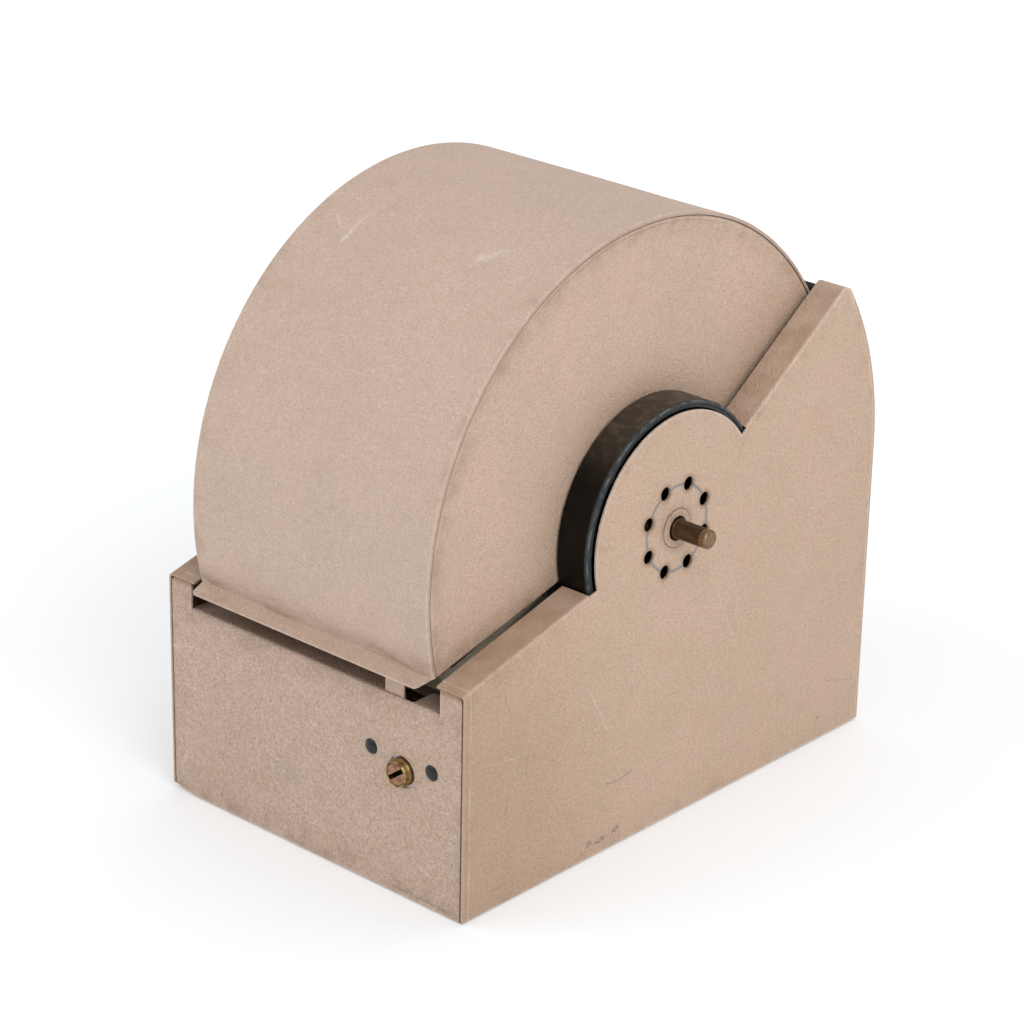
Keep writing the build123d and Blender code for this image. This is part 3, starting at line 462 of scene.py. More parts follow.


# Pale rubs on the cover's top, painted seam shade in brown and a painted highlight along the side edges, and rusty
# stains along the lip's fold.
def skinMarks(g, color, rough):
    up, back, radius, angle = g.aroundSpindle()
    fold = g.ramp(g.less(outline["coverFront"], angle), 5.5, 0.0)
    fold = g.times(fold, g.ramp(radius, 135.5, 134.4, 0.05, 1.0))
    stained = g.ramp(g.noise(6, 4, stretch=(3, 1, 1), shift=6), 0.38, 0.70, 0.0, 0.65)
    color = g.tint(color, enamel["stainAndShade"], g.times(fold, stained))
    # The side edge beside the seam is painted brown as the seam's shade, with a painted highlight as a thin pale
    # line along its rolled outer corner
    side = g.calc("ABSOLUTE", g.x)
    onCover = g.calc("LESS_THAN", radius, 134.6)
    color = g.tint(color, (0.19, 0.11, 0.075), g.times(g.ramp(side, 69.6, 69.85), g.times(onCover, 0.30)))
    edgeHighlight = g.band(side, 69.15, 0.4, 0.1)
    color = g.tint(color, enamel["wearAndHighlight"], g.times(edgeHighlight, g.times(onCover, 0.20)))
    along = g.times(angle, 134.3 * math.pi / 180)
    return g.marks(color, g.x, along, skinScratches, 1.0, 0.6), rough


# Each mark: its two ends as (x, z), its half width, its tone and its strength
frontScratches = [
    ((-87.6, 70.9, -74.3, 74.4), 0.7, "scuff", 0.7), ((25.5, 29.6, 33.9, 29.3), 1.0, "scuff", 0.6),
    ((34.9, 11.3, 49.8, 5.0), 0.8, "scuff", 0.4), ((-5.1, 14.5, 19.8, 17.7), 0.6, "scuff", 0.35),
    ((-57.3, 8.5, -57.3, 7.9), 1.1, "grime", 0.9), ((-9.9, 20.3, -3.1, 18.2), 0.6, "grime", 0.5),
    ((53.4, 3.6, 80.8, 3.4), 1.2, "grime", 0.4)]


# Painted shade as a dark seam under the skin's edge, a pale line just inside it as a painted highlight on the
# rim's bend, a brown rub just inside that, and dirt beside the flanges.
def coverEndMarks(g, color, rough):
    up, back, radius, angle = g.aroundSpindle()
    # Painted shade: a dark seam line on the rim under the skin's edge
    seam = g.ramp(g.sum(radius, g.times(g.less(g.noise(9, 3), 0.5), 0.4)), 131.85, 132.35)
    color = g.tint(color, (0.10, 0.055, 0.036), g.times(seam, 0.9))
    # Painted highlight: a pale line for the rim's bend
    color = g.tint(color, enamel["pale"], g.times(g.band(radius, 131.1, 0.6, 0.2), 0.30))
    rubRadius = g.sum(130.6, g.times(g.less(g.noise(30, 2, shift=4), 0.5), 2.2))
    nearTop = g.times(g.ramp(up, 70.0, 100.0), g.ramp(back, 62.0, 20.0))
    rub = g.times(g.band(radius, rubRadius, 0.42, 0.12), nearTop)
    color = g.tint(color, enamel["stainAndShade"], g.times(rub, 0.5))
    slope = g.ramp(coverEndEdge(g), 14.0, 0.5)
    color = g.patchy(color, enamel["stainAndShade"], slope, (8, 4, 71), (0.35, 0.7, 0.05, 0.40))
    return color, rough


# Each mark: its two ends as (x, distance round the cover from the level behind), half width, tone, strength
skinScratches = [
    ((-39.6, 253.3, -40.5, 264.1), 0.7, "scuff", 0.5), ((-40.5, 264.1, -42.3, 271.3), 1.1, "scuff", 0.6),
    ((-42.3, 271.3, -42.8, 285.2), 1.5, "scuff", 0.8), ((-56.6, 273.0, -48.3, 278.8), 1.3, "scuff", 0.8),
    ((-41.9, 279.3, -42.8, 285.2), 2.0, "scuff", 0.6), ((-38.2, 285.0, -44.0, 296.8), 0.8, "scuff", 0.4),
    ((35.3, 265.2, 26.9, 271.9), 3.4, "scuff", 0.8), ((26.9, 271.9, 25.4, 278.2), 1.8, "scuff", 0.5),
    ((3.3, 298.4, 5.4, 298.8), 1.5, "scuff", 0.6), ((35.3, 265.4, 35.8, 265.9), 0.9, "grime", 0.7)]


# Rusty stains along the bottom edge and on the cheek tops, painted shadow under the lip and on its shelf, dark
# side seams, a few rubs.
def frontMarks(g, color, rough):
    low = g.ramp(g.z, 20.0, 1.5)
    color = g.patchy(color, enamel["stainAndShade"], low, (13, 4, 3), (0.40, 0.72, 0.0, 0.45))
    # Painted shadow under the lip: the face darkens, patchy and brown, towards the shelf
    high = g.ramp(g.z, 80.0, 93.0)
    color = g.patchy(color, enamel["stainAndShade"], high, (10, 3, 12), (0.3, 0.7, 0.05, 0.30))
    # Painted shade on the shelf under the lip, in brown
    shelf = g.ramp(g.y, -132.2, -129.5)
    color = g.tint(color, (0.23, 0.125, 0.080), g.times(shelf, 0.45))
    across = g.calc("ABSOLUTE", g.x)
    cheekTop = g.times(g.ramp(g.z, 101.8, 104.3), g.ramp(across, 74.8, 75.0))
    color = g.tint(color, (0.30, 0.170, 0.105), g.times(cheekTop, 0.75))
    seam = g.ramp(g.sum(across, g.times(g.less(g.noise(3, 2, shift=19), 0.5), 0.3)), 86.9, 87.5)
    color = g.tint(color, (0.06, 0.038, 0.028), g.times(seam, 0.9))
    cloud = g.times(g.band(g.x, -14.0, 9.0, 2.0), g.band(g.z, 35.0, 9.0, 2.0))
    color = g.tint(color, (0.34, 0.30, 0.28), g.times(cloud, 0.22))
    face = g.calc("LESS_THAN", g.y, spindleY / mm - 131.0)
    color = g.marks(color, g.x, g.z, frontScratches, face)
    return color, rough


# Bare or plated metal: fine turning marks, cloudy tarnish.
def metalFinish(name, color, tarnish, rough, patina=0.5, metal=1.0, shine=0.5):
    g = Graph(name)
    clouds = g.ramp(g.noise(2.6, 4, shift=11), 0.38, 0.72)
    shade = g.tint(color, tarnish, g.times(clouds, patina))
    marks = g.noise(0.22, 2, shift=4)
    finish = g.ramp(marks, 0.3, 0.7, rough - 0.08, rough + 0.10)
    g.shader.inputs["Metallic"].default_value = metal
    g.shader.inputs["Specular IOR Level"].default_value = shine
    return g.finish(shade, finish, g.bump(marks, 0.00002, 0.5))


# Brown aged brass, rubbed bright over the last few millimetres where the knob sat, with painted shade in the
# groove before them.
def spindleBrass():
    g = Graph("agedSpindleBrass")
    clouds = g.ramp(g.noise(2.2, 4, stretch=(4, 1, 1)), 0.35, 0.7)
    old = g.tint((0.075, 0.041, 0.021), (0.125, 0.074, 0.038), clouds)
    rubs = g.ramp(g.noise(1.4, 3, shift=5), 0.35, 0.65)
    bright = g.tint((0.185, 0.110, 0.062), (0.290, 0.185, 0.115), rubs)
    tip = g.ramp(g.sum(g.x, g.times(g.less(g.noise(1.5, 2, shift=2), 0.5), 0.8)), 103.9, 104.4)
    color = g.tint(old, bright, tip)
    # Painted shade in the fine groove behind the tip
    ring = g.times(g.band(g.x, 104.0, 0.42, 0.15), 0.85)
    color = g.tint(color, (0.030, 0.019, 0.011), ring)
    turning = g.noise(0.20, 2, stretch=(1, 12, 12), shift=7)
    g.shader.inputs["Metallic"].default_value = 0.85
    return g.finish(color, g.ramp(turning, 0.3, 0.7, 0.36, 0.52), g.bump(turning, 0.00003, 0.6))


# Worn pinkish copper face; the keyway behind it is near black, painted shade in the recess.
def plugFace():
    g = Graph("lockPlugCopper")
    clouds = g.ramp(g.noise(2.0, 4, shift=11), 0.38, 0.66)
    color = g.tint((0.40, 0.205, 0.125), (0.235, 0.110, 0.065), clouds)
    # Painted shade: everything behind the face, in the keyway, is near black and not metallic
    inside = g.ramp(g.y, lockFaceY + 0.12, lockFaceY + 0.35)
    color = g.tint(color, (0.006, 0.005, 0.004), inside)
    g.shader.inputs["Specular IOR Level"].default_value = 0.3
    marks = g.noise(0.25, 2, shift=4)
    return g.finish(color, g.ramp(marks, 0.3, 0.7, 0.36, 0.55), g.bump(marks, 0.00002, 0.5),
                    g.ramp(inside, 0.0, 0.6, 0.7, 0.0))


# Black enamel, rubbed slate grey on the rim with painted shade at its step, lighter still along its outer corner
# as a painted highlight, and dusty on top with a painted sheen.
def hubEnamel():
    g = Graph("blackHubEnamel")
    up, back, radius, angle = g.aroundSpindle()
    out = g.calc("ABSOLUTE", g.x)
    black = g.tint((0.0035, 0.0028, 0.0018), (0.008, 0.006, 0.004), g.ramp(g.noise(9, 4), 0.4, 0.75))
    # Dust on top, strengthened as a painted sheen where the top catches light
    dustAndSheen = g.times(g.ramp(g.noise(4, 4, shift=3), 0.45, 0.75, 0.5, 1.0), g.ramp(up, 30.0, 56.0, 0.0, 0.60))
    black = g.tint(black, (0.15, 0.115, 0.085), dustAndSheen)
    rim = g.ramp(g.sum(out, g.times(g.less(g.noise(2.5, 3, shift=8), 0.5), 0.7)), 85.5, 85.9)
    grey = g.tint((0.030, 0.034, 0.037), (0.050, 0.056, 0.060), g.ramp(g.noise(1.8, 3, shift=15), 0.4, 0.7))
    # Painted shade: a darker band at the rim's step
    grey = g.tint(grey, (0.008, 0.008, 0.008), g.times(g.band(radius, 54.2, 0.42, 0.15), 0.40))
    color = g.tint(black, grey, g.times(rim, g.ramp(g.noise(5, 4, shift=25), 0.26, 0.36)))
    # Painted highlight over the rubbed rim: a lighter line along its outer corner, broken by noise
    wearAndHighlight = g.band(radius, 55.7, 0.55, 0.1)
    highlightPatches = g.ramp(g.noise(5.0, 3, shift=33), 0.40, 0.62)
    color = g.tint(color, (0.145, 0.150, 0.152), g.times(g.times(wearAndHighlight, highlightPatches), g.times(rim, 0.75)))
    specks = g.ramp(g.noise(0.9, 1, shift=45), 0.78, 0.82)
    color = g.tint(color, (0.16, 0.145, 0.12), g.times(specks, 0.5))
    rough = g.ramp(g.noise(6, 3, shift=5), 0.3, 0.7, 0.30, 0.46)
    g.shader.inputs["Specular IOR Level"].default_value = 0.14
    return g.finish(color, rough, g.bump(g.noise(1.6, 3, shift=9), 0.00005, 0.5))


def rubberFinish(name, color):
    g = Graph(name)
    shade = g.tint(color, tuple(3 * c for c in color), g.ramp(g.noise(3, 4), 0.5, 0.8))
    return g.finish(shade, g.ramp(g.noise(2, 2), 0.3, 0.7, 0.65, 0.85), g.bump(g.noise(0.5, 2), 0.00004, 0.5))


# Card stock: faint fibres, cloudy yellowing, pale ruled lines, dirty outer edges, and side edges darkened as
# painted shade.
def cardFinish(name, color, shade, linePitch):
    g = Graph(name)
    up, back, radius, angle = g.aroundSpindle()
    base = g.tint(color, shade, g.times(g.ramp(g.noise(14, 4), 0.35, 0.7), 0.5))
    base = g.tint(base, (0.45, 0.35, 0.22), g.ramp(radius, 110.0, 119.5, 0.0, 0.5))
    if linePitch:
        line = g.calc("PINGPONG", radius, linePitch / 2)
        ruled = g.times(g.ramp(radius, 100.0, 99.5), g.ramp(radius, 58.0, 58.5))
        rule = g.times(g.ramp(line, 0.28, 0.14), ruled)
        base = g.tint(base, (0.35, 0.42, 0.46), g.times(rule, 0.3))
    # Painted shade: the cards' and dividers' side edges darken towards the housing's sides
    base = g.tint(base, (0.045, 0.034, 0.022), g.ramp(g.calc("ABSOLUTE", g.x), 59.0, 63.2, 0.0, 0.93))
    fibres = g.noise(0.5, 3, stretch=(3, 1, 1))
    return g.finish(base, 0.82, g.bump(fibres, 0.00003, 0.5))


def blackPlastic():
    g = Graph("knobPlastic")
    color = g.tint((0.012, 0.012, 0.012), (0.03, 0.028, 0.026), g.ramp(g.noise(5, 4), 0.45, 0.75))
    rough = g.ramp(g.noise(3, 3, shift=3), 0.3, 0.7, 0.28, 0.42)
    return g.finish(color, rough, g.bump(g.noise(0.8, 2), 0.00002, 0.4))


panelCoats = {
    "side": dict(name="sidePanelEnamel", edgeOf=sidePanelEdge, coatTone=(0.965, 0.940, 0.875), edgeWear=0.40,
                 grain=0.80, extras=sideMarks),
    "front": dict(name="frontPanelEnamel", edgeOf=frontPanelEdge, coatTone=(0.975, 0.950, 0.935),
                  edgeWear=0.35, dirt=0.4, grain=1.15, extras=frontMarks),
    "skin": dict(name="coverSkinEnamel", edgeOf=skinEdge, coatTone=(0.955, 0.965, 0.975), edgeWear=0.12,
                 edgeWidth=0.5, grain=0.70, extras=skinMarks),
    "coverEnd": dict(name="coverEndEnamel", edgeOf=coverEndEdge, coatTone=(1.000, 0.985, 0.945), edgeWear=0.0,
                     dirt=0.30, grain=0.85, extras=coverEndMarks),
    "plain": dict(name="housingEnamel", edgeOf=plainEdge, coatTone=(0.93, 0.90, 0.86), grain=0.7)}
metals = {
    "brass": dict(name="lockBrass", color=(0.40, 0.285, 0.135), tarnish=(0.15, 0.085, 0.035), rough=0.36,
                  patina=0.95),
    "zinc": dict(name="zincPlate", color=(0.56, 0.56, 0.55), tarnish=(0.32, 0.32, 0.31), rough=0.36,
                 patina=0.5),
    "rivet": dict(name="rivetSteel", color=(0.017, 0.018, 0.018), tarnish=(0.008, 0.008, 0.009), rough=0.20,
                  patina=0.6, metal=0.0, shine=0.30)}
boards = {
    "card": dict(name="indexCardStock", color=(0.84, 0.79, 0.66), shade=(0.72, 0.62, 0.43), linePitch=6.35),
    "divider": dict(name="dividerBoard", color=(0.330, 0.235, 0.140), shade=(0.22, 0.15, 0.090), linePitch=0)}

finishes = {key: paint(**values) for key, values in panelCoats.items()}
finishes.update({key: metalFinish(**values) for key, values in metals.items()})
finishes.update({key: cardFinish(**values) for key, values in boards.items()})
finishes.update({
    "hub": hubEnamel(), "spindle": spindleBrass(), "copper": plugFace(), "knob": blackPlastic(),
    "rubber": rubberFinish("blackRubber", (0.012, 0.011, 0.010))})
slotFinish = {
    "tan_paint": "plain", "black_enamel": "hub", "brass": "brass", "copper_plug": "copper",
    "zinc_steel": "zinc", "dark_steel": "rivet", "rubber": "rubber", "card_stock": "card",
    "divider_board": "divider", "knob_black": "knob"}
for part in frame["record"]["subparts"]:
    cadMesh = frame["nodes"][part["node"]].data
    cadMesh.materials.clear()
    cadMesh.materials.append(finishes[slotFinish[part["material_slot"]]])
print("finishes made:", len(finishes))


# surfaces

# Quads of a grid of points stored row by row; closing joins the last row or column to the first.
def gridFaces(rows, columns, closeRows=False, closeColumns=False):
    index = np.arange(rows * columns).reshape(rows, columns)
    if closeRows:
        index = np.vstack([index, index[:1]])
    if closeColumns:
        index = np.hstack([index, index[:, :1]])
    return np.stack([index[:-1, :-1], index[:-1, 1:], index[1:, 1:], index[1:, :-1]], axis=-1).reshape(-1, 4)


# Points are in metres and faces are rows of point numbers; the piece rides on a body and may replace nodes.
def makePiece(name, points, faces, body, finish, replaces=(), weld=True, smooth=45.0):
    mesh = bpy.data.meshes.new(name)
    mesh.from_pydata(np.asarray(points).reshape(-1, 3).tolist(), [], np.asarray(faces).tolist())
    return addPiece(name, mesh, body, finish, replaces, weld, smooth)


# Welds doubled points and turns the faces outwards, unless the mesh is already merged.
def addPiece(name, mesh, body, finish, replaces=(), weld=True, smooth=45.0):
    work = bmesh.new()
    work.from_mesh(mesh)
    if weld:
        bmesh.ops.remove_doubles(work, verts=work.verts, dist=2e-6)
        bmesh.ops.dissolve_degenerate(work, edges=work.edges, dist=1e-7)
        bmesh.ops.recalc_face_normals(work, faces=work.faces)
    work.to_mesh(mesh)
    work.free()
    mesh.shade_smooth()
    mesh.set_sharp_from_angle(angle=math.radians(smooth))
    mesh.materials.clear()
    mesh.materials.append(finishes[finish])
    piece = bpy.data.objects.new(name, mesh)
    bpy.context.scene.collection.objects.link(piece)
    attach(piece, body)
    if replaces:
        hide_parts(*replaces)
    return piece


# Rounds the inner corners of an open outline: each becomes a curve that leaves along one side and arrives
# along the next, (1-t)^2 start + 2t(1-t) corner + t^2 end.
def roundCorners(points, radius, steps=4):
    points = np.asarray(points, float)
    radii = np.broadcast_to(radius, len(points))
    out = [points[:1]]
    t = np.linspace(0, 1, steps + 1)[:, None]
    for before, corner, after, reach in zip(points[:-2], points[1:-1], points[2:], radii[1:-1]):
        back, ahead = before - corner, after - corner
        trim = min(reach, 0.49 * np.linalg.norm(back), 0.49 * np.linalg.norm(ahead))
        start = corner + back / np.linalg.norm(back) * trim
        end = corner + ahead / np.linalg.norm(ahead) * trim
        out.append((1 - t) ** 2 * start + 2 * t * (1 - t) * corner + t ** 2 * end)
    out.append(points[-1:])
    return np.vstack(out)


# Surface of revolution: a profile of (distance along, radius) in millimetres, turned about a line. Point =
# origin + along * distance + radius * (cos, sin) in the plane square to the line.
def turned(profile, origin, along, segments):
    along = np.asarray(along, float)
    first = np.cross(along, (0.0, 0.0, 1.0)) if abs(along[2]) < 0.9 else np.array((1.0, 0.0, 0.0))
    first /= np.linalg.norm(first)
    second = np.cross(along, first)
    turn = np.linspace(0, 2 * np.pi, segments, endpoint=False)
    ring = np.cos(turn)[:, None] * first + np.sin(turn)[:, None] * second
    profile = np.asarray(profile) * mm
    points = (np.asarray(origin) + profile[:, 0, None, None] * along
              + profile[:, 1, None, None] * ring[None])
    return points.reshape(-1, 3), gridFaces(len(profile), segments, closeColumns=True)


# Equal turned parts at several places as one set of points and faces, one part after another.
def turnedSet(profile, places, along, segments):
    made = [turned(profile, place, along, segments) for place in places]
    starts = np.cumsum([0] + [len(points) for points, faces in made[:-1]])
    return (np.vstack([points for points, faces in made]),
            np.vstack([faces + start for start, (points, faces) in zip(starts, made)]))


# Side view point about the spindle in millimetres: (depth, height); drop is square to the radius.
def polar(angle, radius, drop=0.0):
    turn = np.radians(angle)
    return np.stack(np.broadcast_arrays(radius * np.cos(turn) - drop * np.sin(turn),
                                        radius * np.sin(turn) + drop * np.cos(turn)), axis=-1)


# Lifts side view points, in millimetres about the spindle, to the frame at x.
def sideView(x, points):
    y, z = spindleY + points[..., 0] * mm, spindleZ + points[..., 1] * mm
    return np.stack(np.broadcast_arrays(x * mm, y, z), axis=-1)


# cover

coverShape = {
    "radius": 134.3, "skin": 0.9, "halfWidth": 69.8, "frontAngle": 194.8, "rearAngle": 20.0,
    "lipRadius": 143.2, "lipHalf": 67.0, "foldHalf": 68.8, "foldRadius": 1.6, "edgeRound": 0.7,
    "lipCorner": 2.2, "arcSteps": 260, "widthSteps": 60, "wave": 0.14}


# Slow unevenness from -1 to 1: three crossed sine waves of unrelated lengths.
def wobble(a, b, size, seed=0.0):
    a, b = a / size, b / size
    return (np.sin(a * 1.7 + b * 0.9 + seed) + np.sin(b * 2.3 - a * 0.6 + seed * 2.1)
            + np.sin(a * 0.8 + b * 1.4 - seed * 1.3)) / 3


# Middle line of the sheet: an arc from the rear edge to the fold, then the lip straight outwards. It is
# offset half the thickness to each side, closed round both ends, and carried across x, where the radius
# falls away in a quarter circle at the two side edges.
def coverShell(values):
    half = values["skin"] / 2
    middle = values["radius"] - half
    angles = np.linspace(values["rearAngle"], values["frontAngle"] - 1.2, values["arcSteps"])
    arc = polar(angles, middle)
    corner = polar(values["frontAngle"], middle, -half)
    tip = polar(values["frontAngle"], values["lipRadius"] - half, -half)
    fold = roundCorners([arc[-1], corner, tip], values["foldRadius"], 8)[1:-1]
    lip = fold[-1] + (tip - fold[-1]) * np.linspace(0, 1, 12)[1:, None]
    line = np.vstack([arc, fold, lip])
    ahead = np.gradient(line, axis=0)
    ahead /= np.linalg.norm(ahead, axis=1)[:, None]
    outward = np.stack([ahead[:, 1], -ahead[:, 0]], axis=1)
    turn = np.linspace(0, np.pi, 7)[1:-1, None]
    tipRound = line[-1] + half * (outward[-1] * np.cos(turn) + ahead[-1] * np.sin(turn))
    rearRound = line[0] + half * (-outward[0] * np.cos(turn) - ahead[0] * np.sin(turn))
    section = np.vstack([line + half * outward, tipRound, (line - half * outward)[::-1], rearRound])
    # Half width at each point of the section: full on the arc, narrower along the lip, rounded at its corners
    reach = np.hypot(*section.T)
    outside = np.clip(reach - values["radius"], 0, None)
    lipLength = values["lipRadius"] - values["radius"]
    onLip = outside > 0.05
    narrowing = values["lipHalf"] - values["foldHalf"]
    width = np.where(onLip, values["foldHalf"] + narrowing * outside / lipLength, values["halfWidth"])
    past = np.clip(outside - (lipLength - values["lipCorner"]), 0, values["lipCorner"])
    width = width - (values["lipCorner"] - np.sqrt(np.clip(values["lipCorner"] ** 2 - past ** 2, 0, None)))
    # Places across the sheet from -1 to 1, set closer together over the rolled side edges
    roll = values["edgeRound"]
    rolled = 1.3 * roll / values["halfWidth"]
    across = np.concatenate([-1 + np.linspace(0, 1, 7)[:-1] * rolled,
                             np.linspace(-1 + rolled, 1 - rolled, values["widthSteps"]),
                             1 - np.linspace(1, 0, 7)[1:] * rolled])
    x = across[None, :] * width[:, None]
    inEdge = np.clip(np.abs(across)[None, :] * values["halfWidth"] - (values["halfWidth"] - roll), 0, roll)
    drop = (roll - np.sqrt(roll ** 2 - inEdge ** 2)) * np.where(onLip, 0.0, 1.0)[:, None]
    angle = np.degrees(np.arctan2(section[:, 1], section[:, 0])) % 360
    unit = section / reach[:, None]
    uneven = values["wave"] * wobble(x, (angle * 2.34)[:, None] * np.ones_like(x), 21.0, 1.0)
    uneven *= np.clip((values["halfWidth"] - np.abs(x)) / 12, 0, 1)
    uneven = uneven * np.where(onLip, 0.0, 1.0)[:, None]
    offset = (uneven - drop)[..., None] * unit[:, None, :]
    points = sideView(x, section[:, None, :] + offset)
    rows, columns = x.shape
    faces = gridFaces(rows, columns, closeRows=True)
    # Close both side edges across the thickness: pair each outer point with the inner one facing it
    count = len(line)
    outer = np.arange(count)
    inner = count + len(tipRound) + (count - 1 - outer)
    caps = []
    for column in (0, columns - 1):
        a, b = outer * columns + column, inner * columns + column
        caps += np.stack([a[:-1], a[1:], b[1:], b[:-1]], axis=1).tolist()
        endTip = (count + np.arange(len(tipRound))) * columns + column
        endRear = (2 * count + len(tipRound) + np.arange(len(rearRound))) * columns + column
        caps.append(np.concatenate([a[-1:], endTip, b[-1:]]).tolist())
        caps.append(np.concatenate([b[:1], endRear, a[:1]]).tolist())
    mesh = bpy.data.meshes.new("coverShell")
    mesh.from_pydata(points.reshape(-1, 3).tolist(), [], faces.tolist() + caps)
    return addPiece("coverShell", mesh, "cover", "skin", ["cover_skin"], smooth=50)


coverEndShape = {
    "face": 69.55, "thick": 1.0, "rim": 132.85, "bore": 40.06, "hub": 52.0, "frontAngle": 194.8,
    "rearAngle": 20.0, "angleSteps": 240, "lowerSteps": 120, "radialSteps": 44, "wave": 0.10,
    "edgeRound": 0.35}


# Flat end of the cover: a full ring of points from the pivot bore to the hub circle, and a sector of them
# from there to the rim; x is the face's plane plus a slow unevenness that dies out at the rim.
def coverEnd(name, node, side, values):
    upper = np.linspace(values["rearAngle"], values["frontAngle"], values["angleSteps"])
    lower = np.linspace(values["frontAngle"], values["rearAngle"] + 360, values["lowerSteps"])[1:-1]
    pieces, faces, start = [], [], 0
    for angles, radii, closed in (
            (np.concatenate([upper, lower]), np.linspace(values["bore"], values["hub"], 5), True),
            (upper, np.linspace(values["hub"], values["rim"], values["radialSteps"]), False)):
        angle, radius = np.meshgrid(angles, radii, indexing="ij")
        flat = polar(angle, radius)
        calm = np.clip((values["rim"] - radius) / 25, 0, 1) * np.clip((radius - 56) / 20, 0, 1)
        x = side * (values["face"] + values["wave"] * calm * wobble(flat[..., 0], flat[..., 1], 27.0, side))
        pieces.append(sideView(x, flat).reshape(-1, 3))
        faces.append(gridFaces(*angle.shape, closeRows=closed) + start)
        start += angle.size
    piece = makePiece(name, np.vstack(pieces), np.vstack(faces), "cover", "coverEnd", [node],
                      smooth=40)
    outwards = np.mean([polygon.normal.x for polygon in piece.data.polygons]) * side
    if outwards < 0:
        piece.data.flip_normals()
    wall = piece.modifiers.new("sheet", "SOLIDIFY")
    wall.thickness, wall.offset = values["thick"] * mm, -1
    soften = piece.modifiers.new("edge", "BEVEL")
    soften.width, soften.segments, soften.limit_method = values["edgeRound"] * mm, 2, "ANGLE"
    soften.angle_limit = math.radians(60)
    soften.harden_normals = True
    return piece


coverShell(coverShape)
coverEnd("coverEndRight", "cover_side_right", 1, coverEndShape)
coverEnd("coverEndLeft", "cover_side_left", -1, coverEndShape)
print("cover made")


# housing sheets: merged copies of the folded CAD sheets with their edges broken

sheetPieces = {
    "sidePanelRight": ("right_side_panel", "side"), "sidePanelLeft": ("left_side_panel", "side"),
    "frontPanel": ("front_panel", "front"), "backPanel": ("back_panel", "plain"),
    "bottomPlate": ("bottom_plate", "plain"), "latchTab": ("latch_tab", "plain")}
sheetEdge = {"width": 0.28, "segments": 2, "angle": 38}
coverSheets = ("latch_tab",)  # the other sheets belong to the housing


# The node's own shape, welded and with flat faces joined, so that a bevel can round its edges.
def brokenEdgeCopy(name, node, finish, body, values):
    mesh = frame["nodes"][node].data.copy()
    mesh.name = name
    work = bmesh.new()
    work.from_mesh(mesh)
    bmesh.ops.remove_doubles(work, verts=work.verts, dist=1e-6)
    bmesh.ops.dissolve_limit(work, angle_limit=math.radians(0.5), verts=work.verts, edges=work.edges)
    work.to_mesh(mesh)
    work.free()
    piece = addPiece(name, mesh, body, finish, [node], weld=False, smooth=30)
    soften = piece.modifiers.new("edge", "BEVEL")
    soften.width, soften.segments = values["width"] * mm, values["segments"]
    soften.limit_method, soften.angle_limit = "ANGLE", math.radians(values["angle"])
    soften.harden_normals = True
    return piece


for pieceName, (node, finish) in sheetPieces.items():
    owner = "cover" if node in coverSheets else "housing"
    brokenEdgeCopy(pieceName, node, finish, owner, sheetEdge)
print("housing sheets made")


# hub cups, spindle and eyelets

hubShape = {
    "floorX": 70.4, "floor": 1.2, "bore": 7.0, "outer": 56.3, "inner": 52.7, "rimX": 87.2, "segments": 320,
    # how far each of the profile's points is rounded
    "rounding": [0, 0.8, 0.2, 0.2, 0.1, 0.1, 0.2, 0.5, 0.4, 0.5, 0.3, 0.3, 0, 0]}


# Profile of the cup from its bore, out along the floor, up the wall and over the stepped rim.
def hubCup(name, node, side, values):
    outer, inner, rim, floor = values["outer"], values["inner"], values["rimX"], values["floorX"]
    rimProfile = [
        (floor + values["floor"], values["bore"]), (floor + values["floor"], inner), (rim - 0.6, inner),
        (rim - 0.35, inner + 0.3), (rim - 0.35, inner + 1.2), (rim - 0.42, inner + 1.5), (rim, inner + 1.8),
        (rim, outer - 0.9), (rim - 0.3, outer - 0.25), (rim - 1.0, outer), (floor + 0.4, outer),
        (floor, outer - 0.4), (floor, values["bore"]), (floor + values["floor"], values["bore"])]
    profile = roundCorners(rimProfile, values["rounding"], 3)
    points, faces = turned(profile, spindleCentre, (side, 0, 0), values["segments"])
    return makePiece(name, points, faces, "housing", "hub", [node], smooth=38)


spindleShape = {"end": 108.0, "radius": 4.3, "stub": 4.6, "journal": 4.8, "chamfer": 0.8, "tip": 3.6}


# Turned spindle: journals inside, a shoulder outside the eyelet, a fine groove and a chamfered tip.
def spindle(values):
    end, radius, groove = values["end"], values["radius"], values["end"] - values["tip"]
    profile = [
        (-104, 0), (-104, radius), (-90.2, radius), (-90.2, values["stub"]), (-80, values["stub"]),
        (-80, values["journal"]), (80, values["journal"]), (80, values["stub"]), (90.2, values["stub"]),
        (90.5, radius), (groove - 0.25, radius), (groove - 0.1, radius - 0.12), (groove + 0.1, radius - 0.12),
        (groove + 0.25, radius - 0.03), (end - values["chamfer"], radius - 0.03),
        (end, radius - values["chamfer"]), (end, radius * 0.5), (end, 0)]
    points, faces = turned(roundCorners(profile, 0.12, 2), spindleCentre, (1, 0, 0), 96)
    return makePiece("spindle", points, faces, "drum", "spindle", ["axle"], smooth=35)


eyeletShape = {
    "profile": [(87.2, 5.5), (89.4, 5.5), (89.8, 5.8), (89.8, 6.3), (89.62, 7.2), (89.55, 8.2), (89.0, 8.6),
                (89.0, 6.25), (88.0, 6.25), (88.0, 8.0), (87.2, 7.4), (87.2, 5.5)],  # (distance out, radius)
    "rounding": 0.3, "segments": 128}


# Rolled eyelet: tube through the panel, flared into a low rounded flange, as a turned profile.
def eyelet(name, node, side, values):
    profile = roundCorners(values["profile"], values["rounding"], 3)
    points, faces = turned(profile, spindleCentre, (side, 0, 0), values["segments"])
    return makePiece(name, points, faces, "housing", "side", [node], smooth=40)


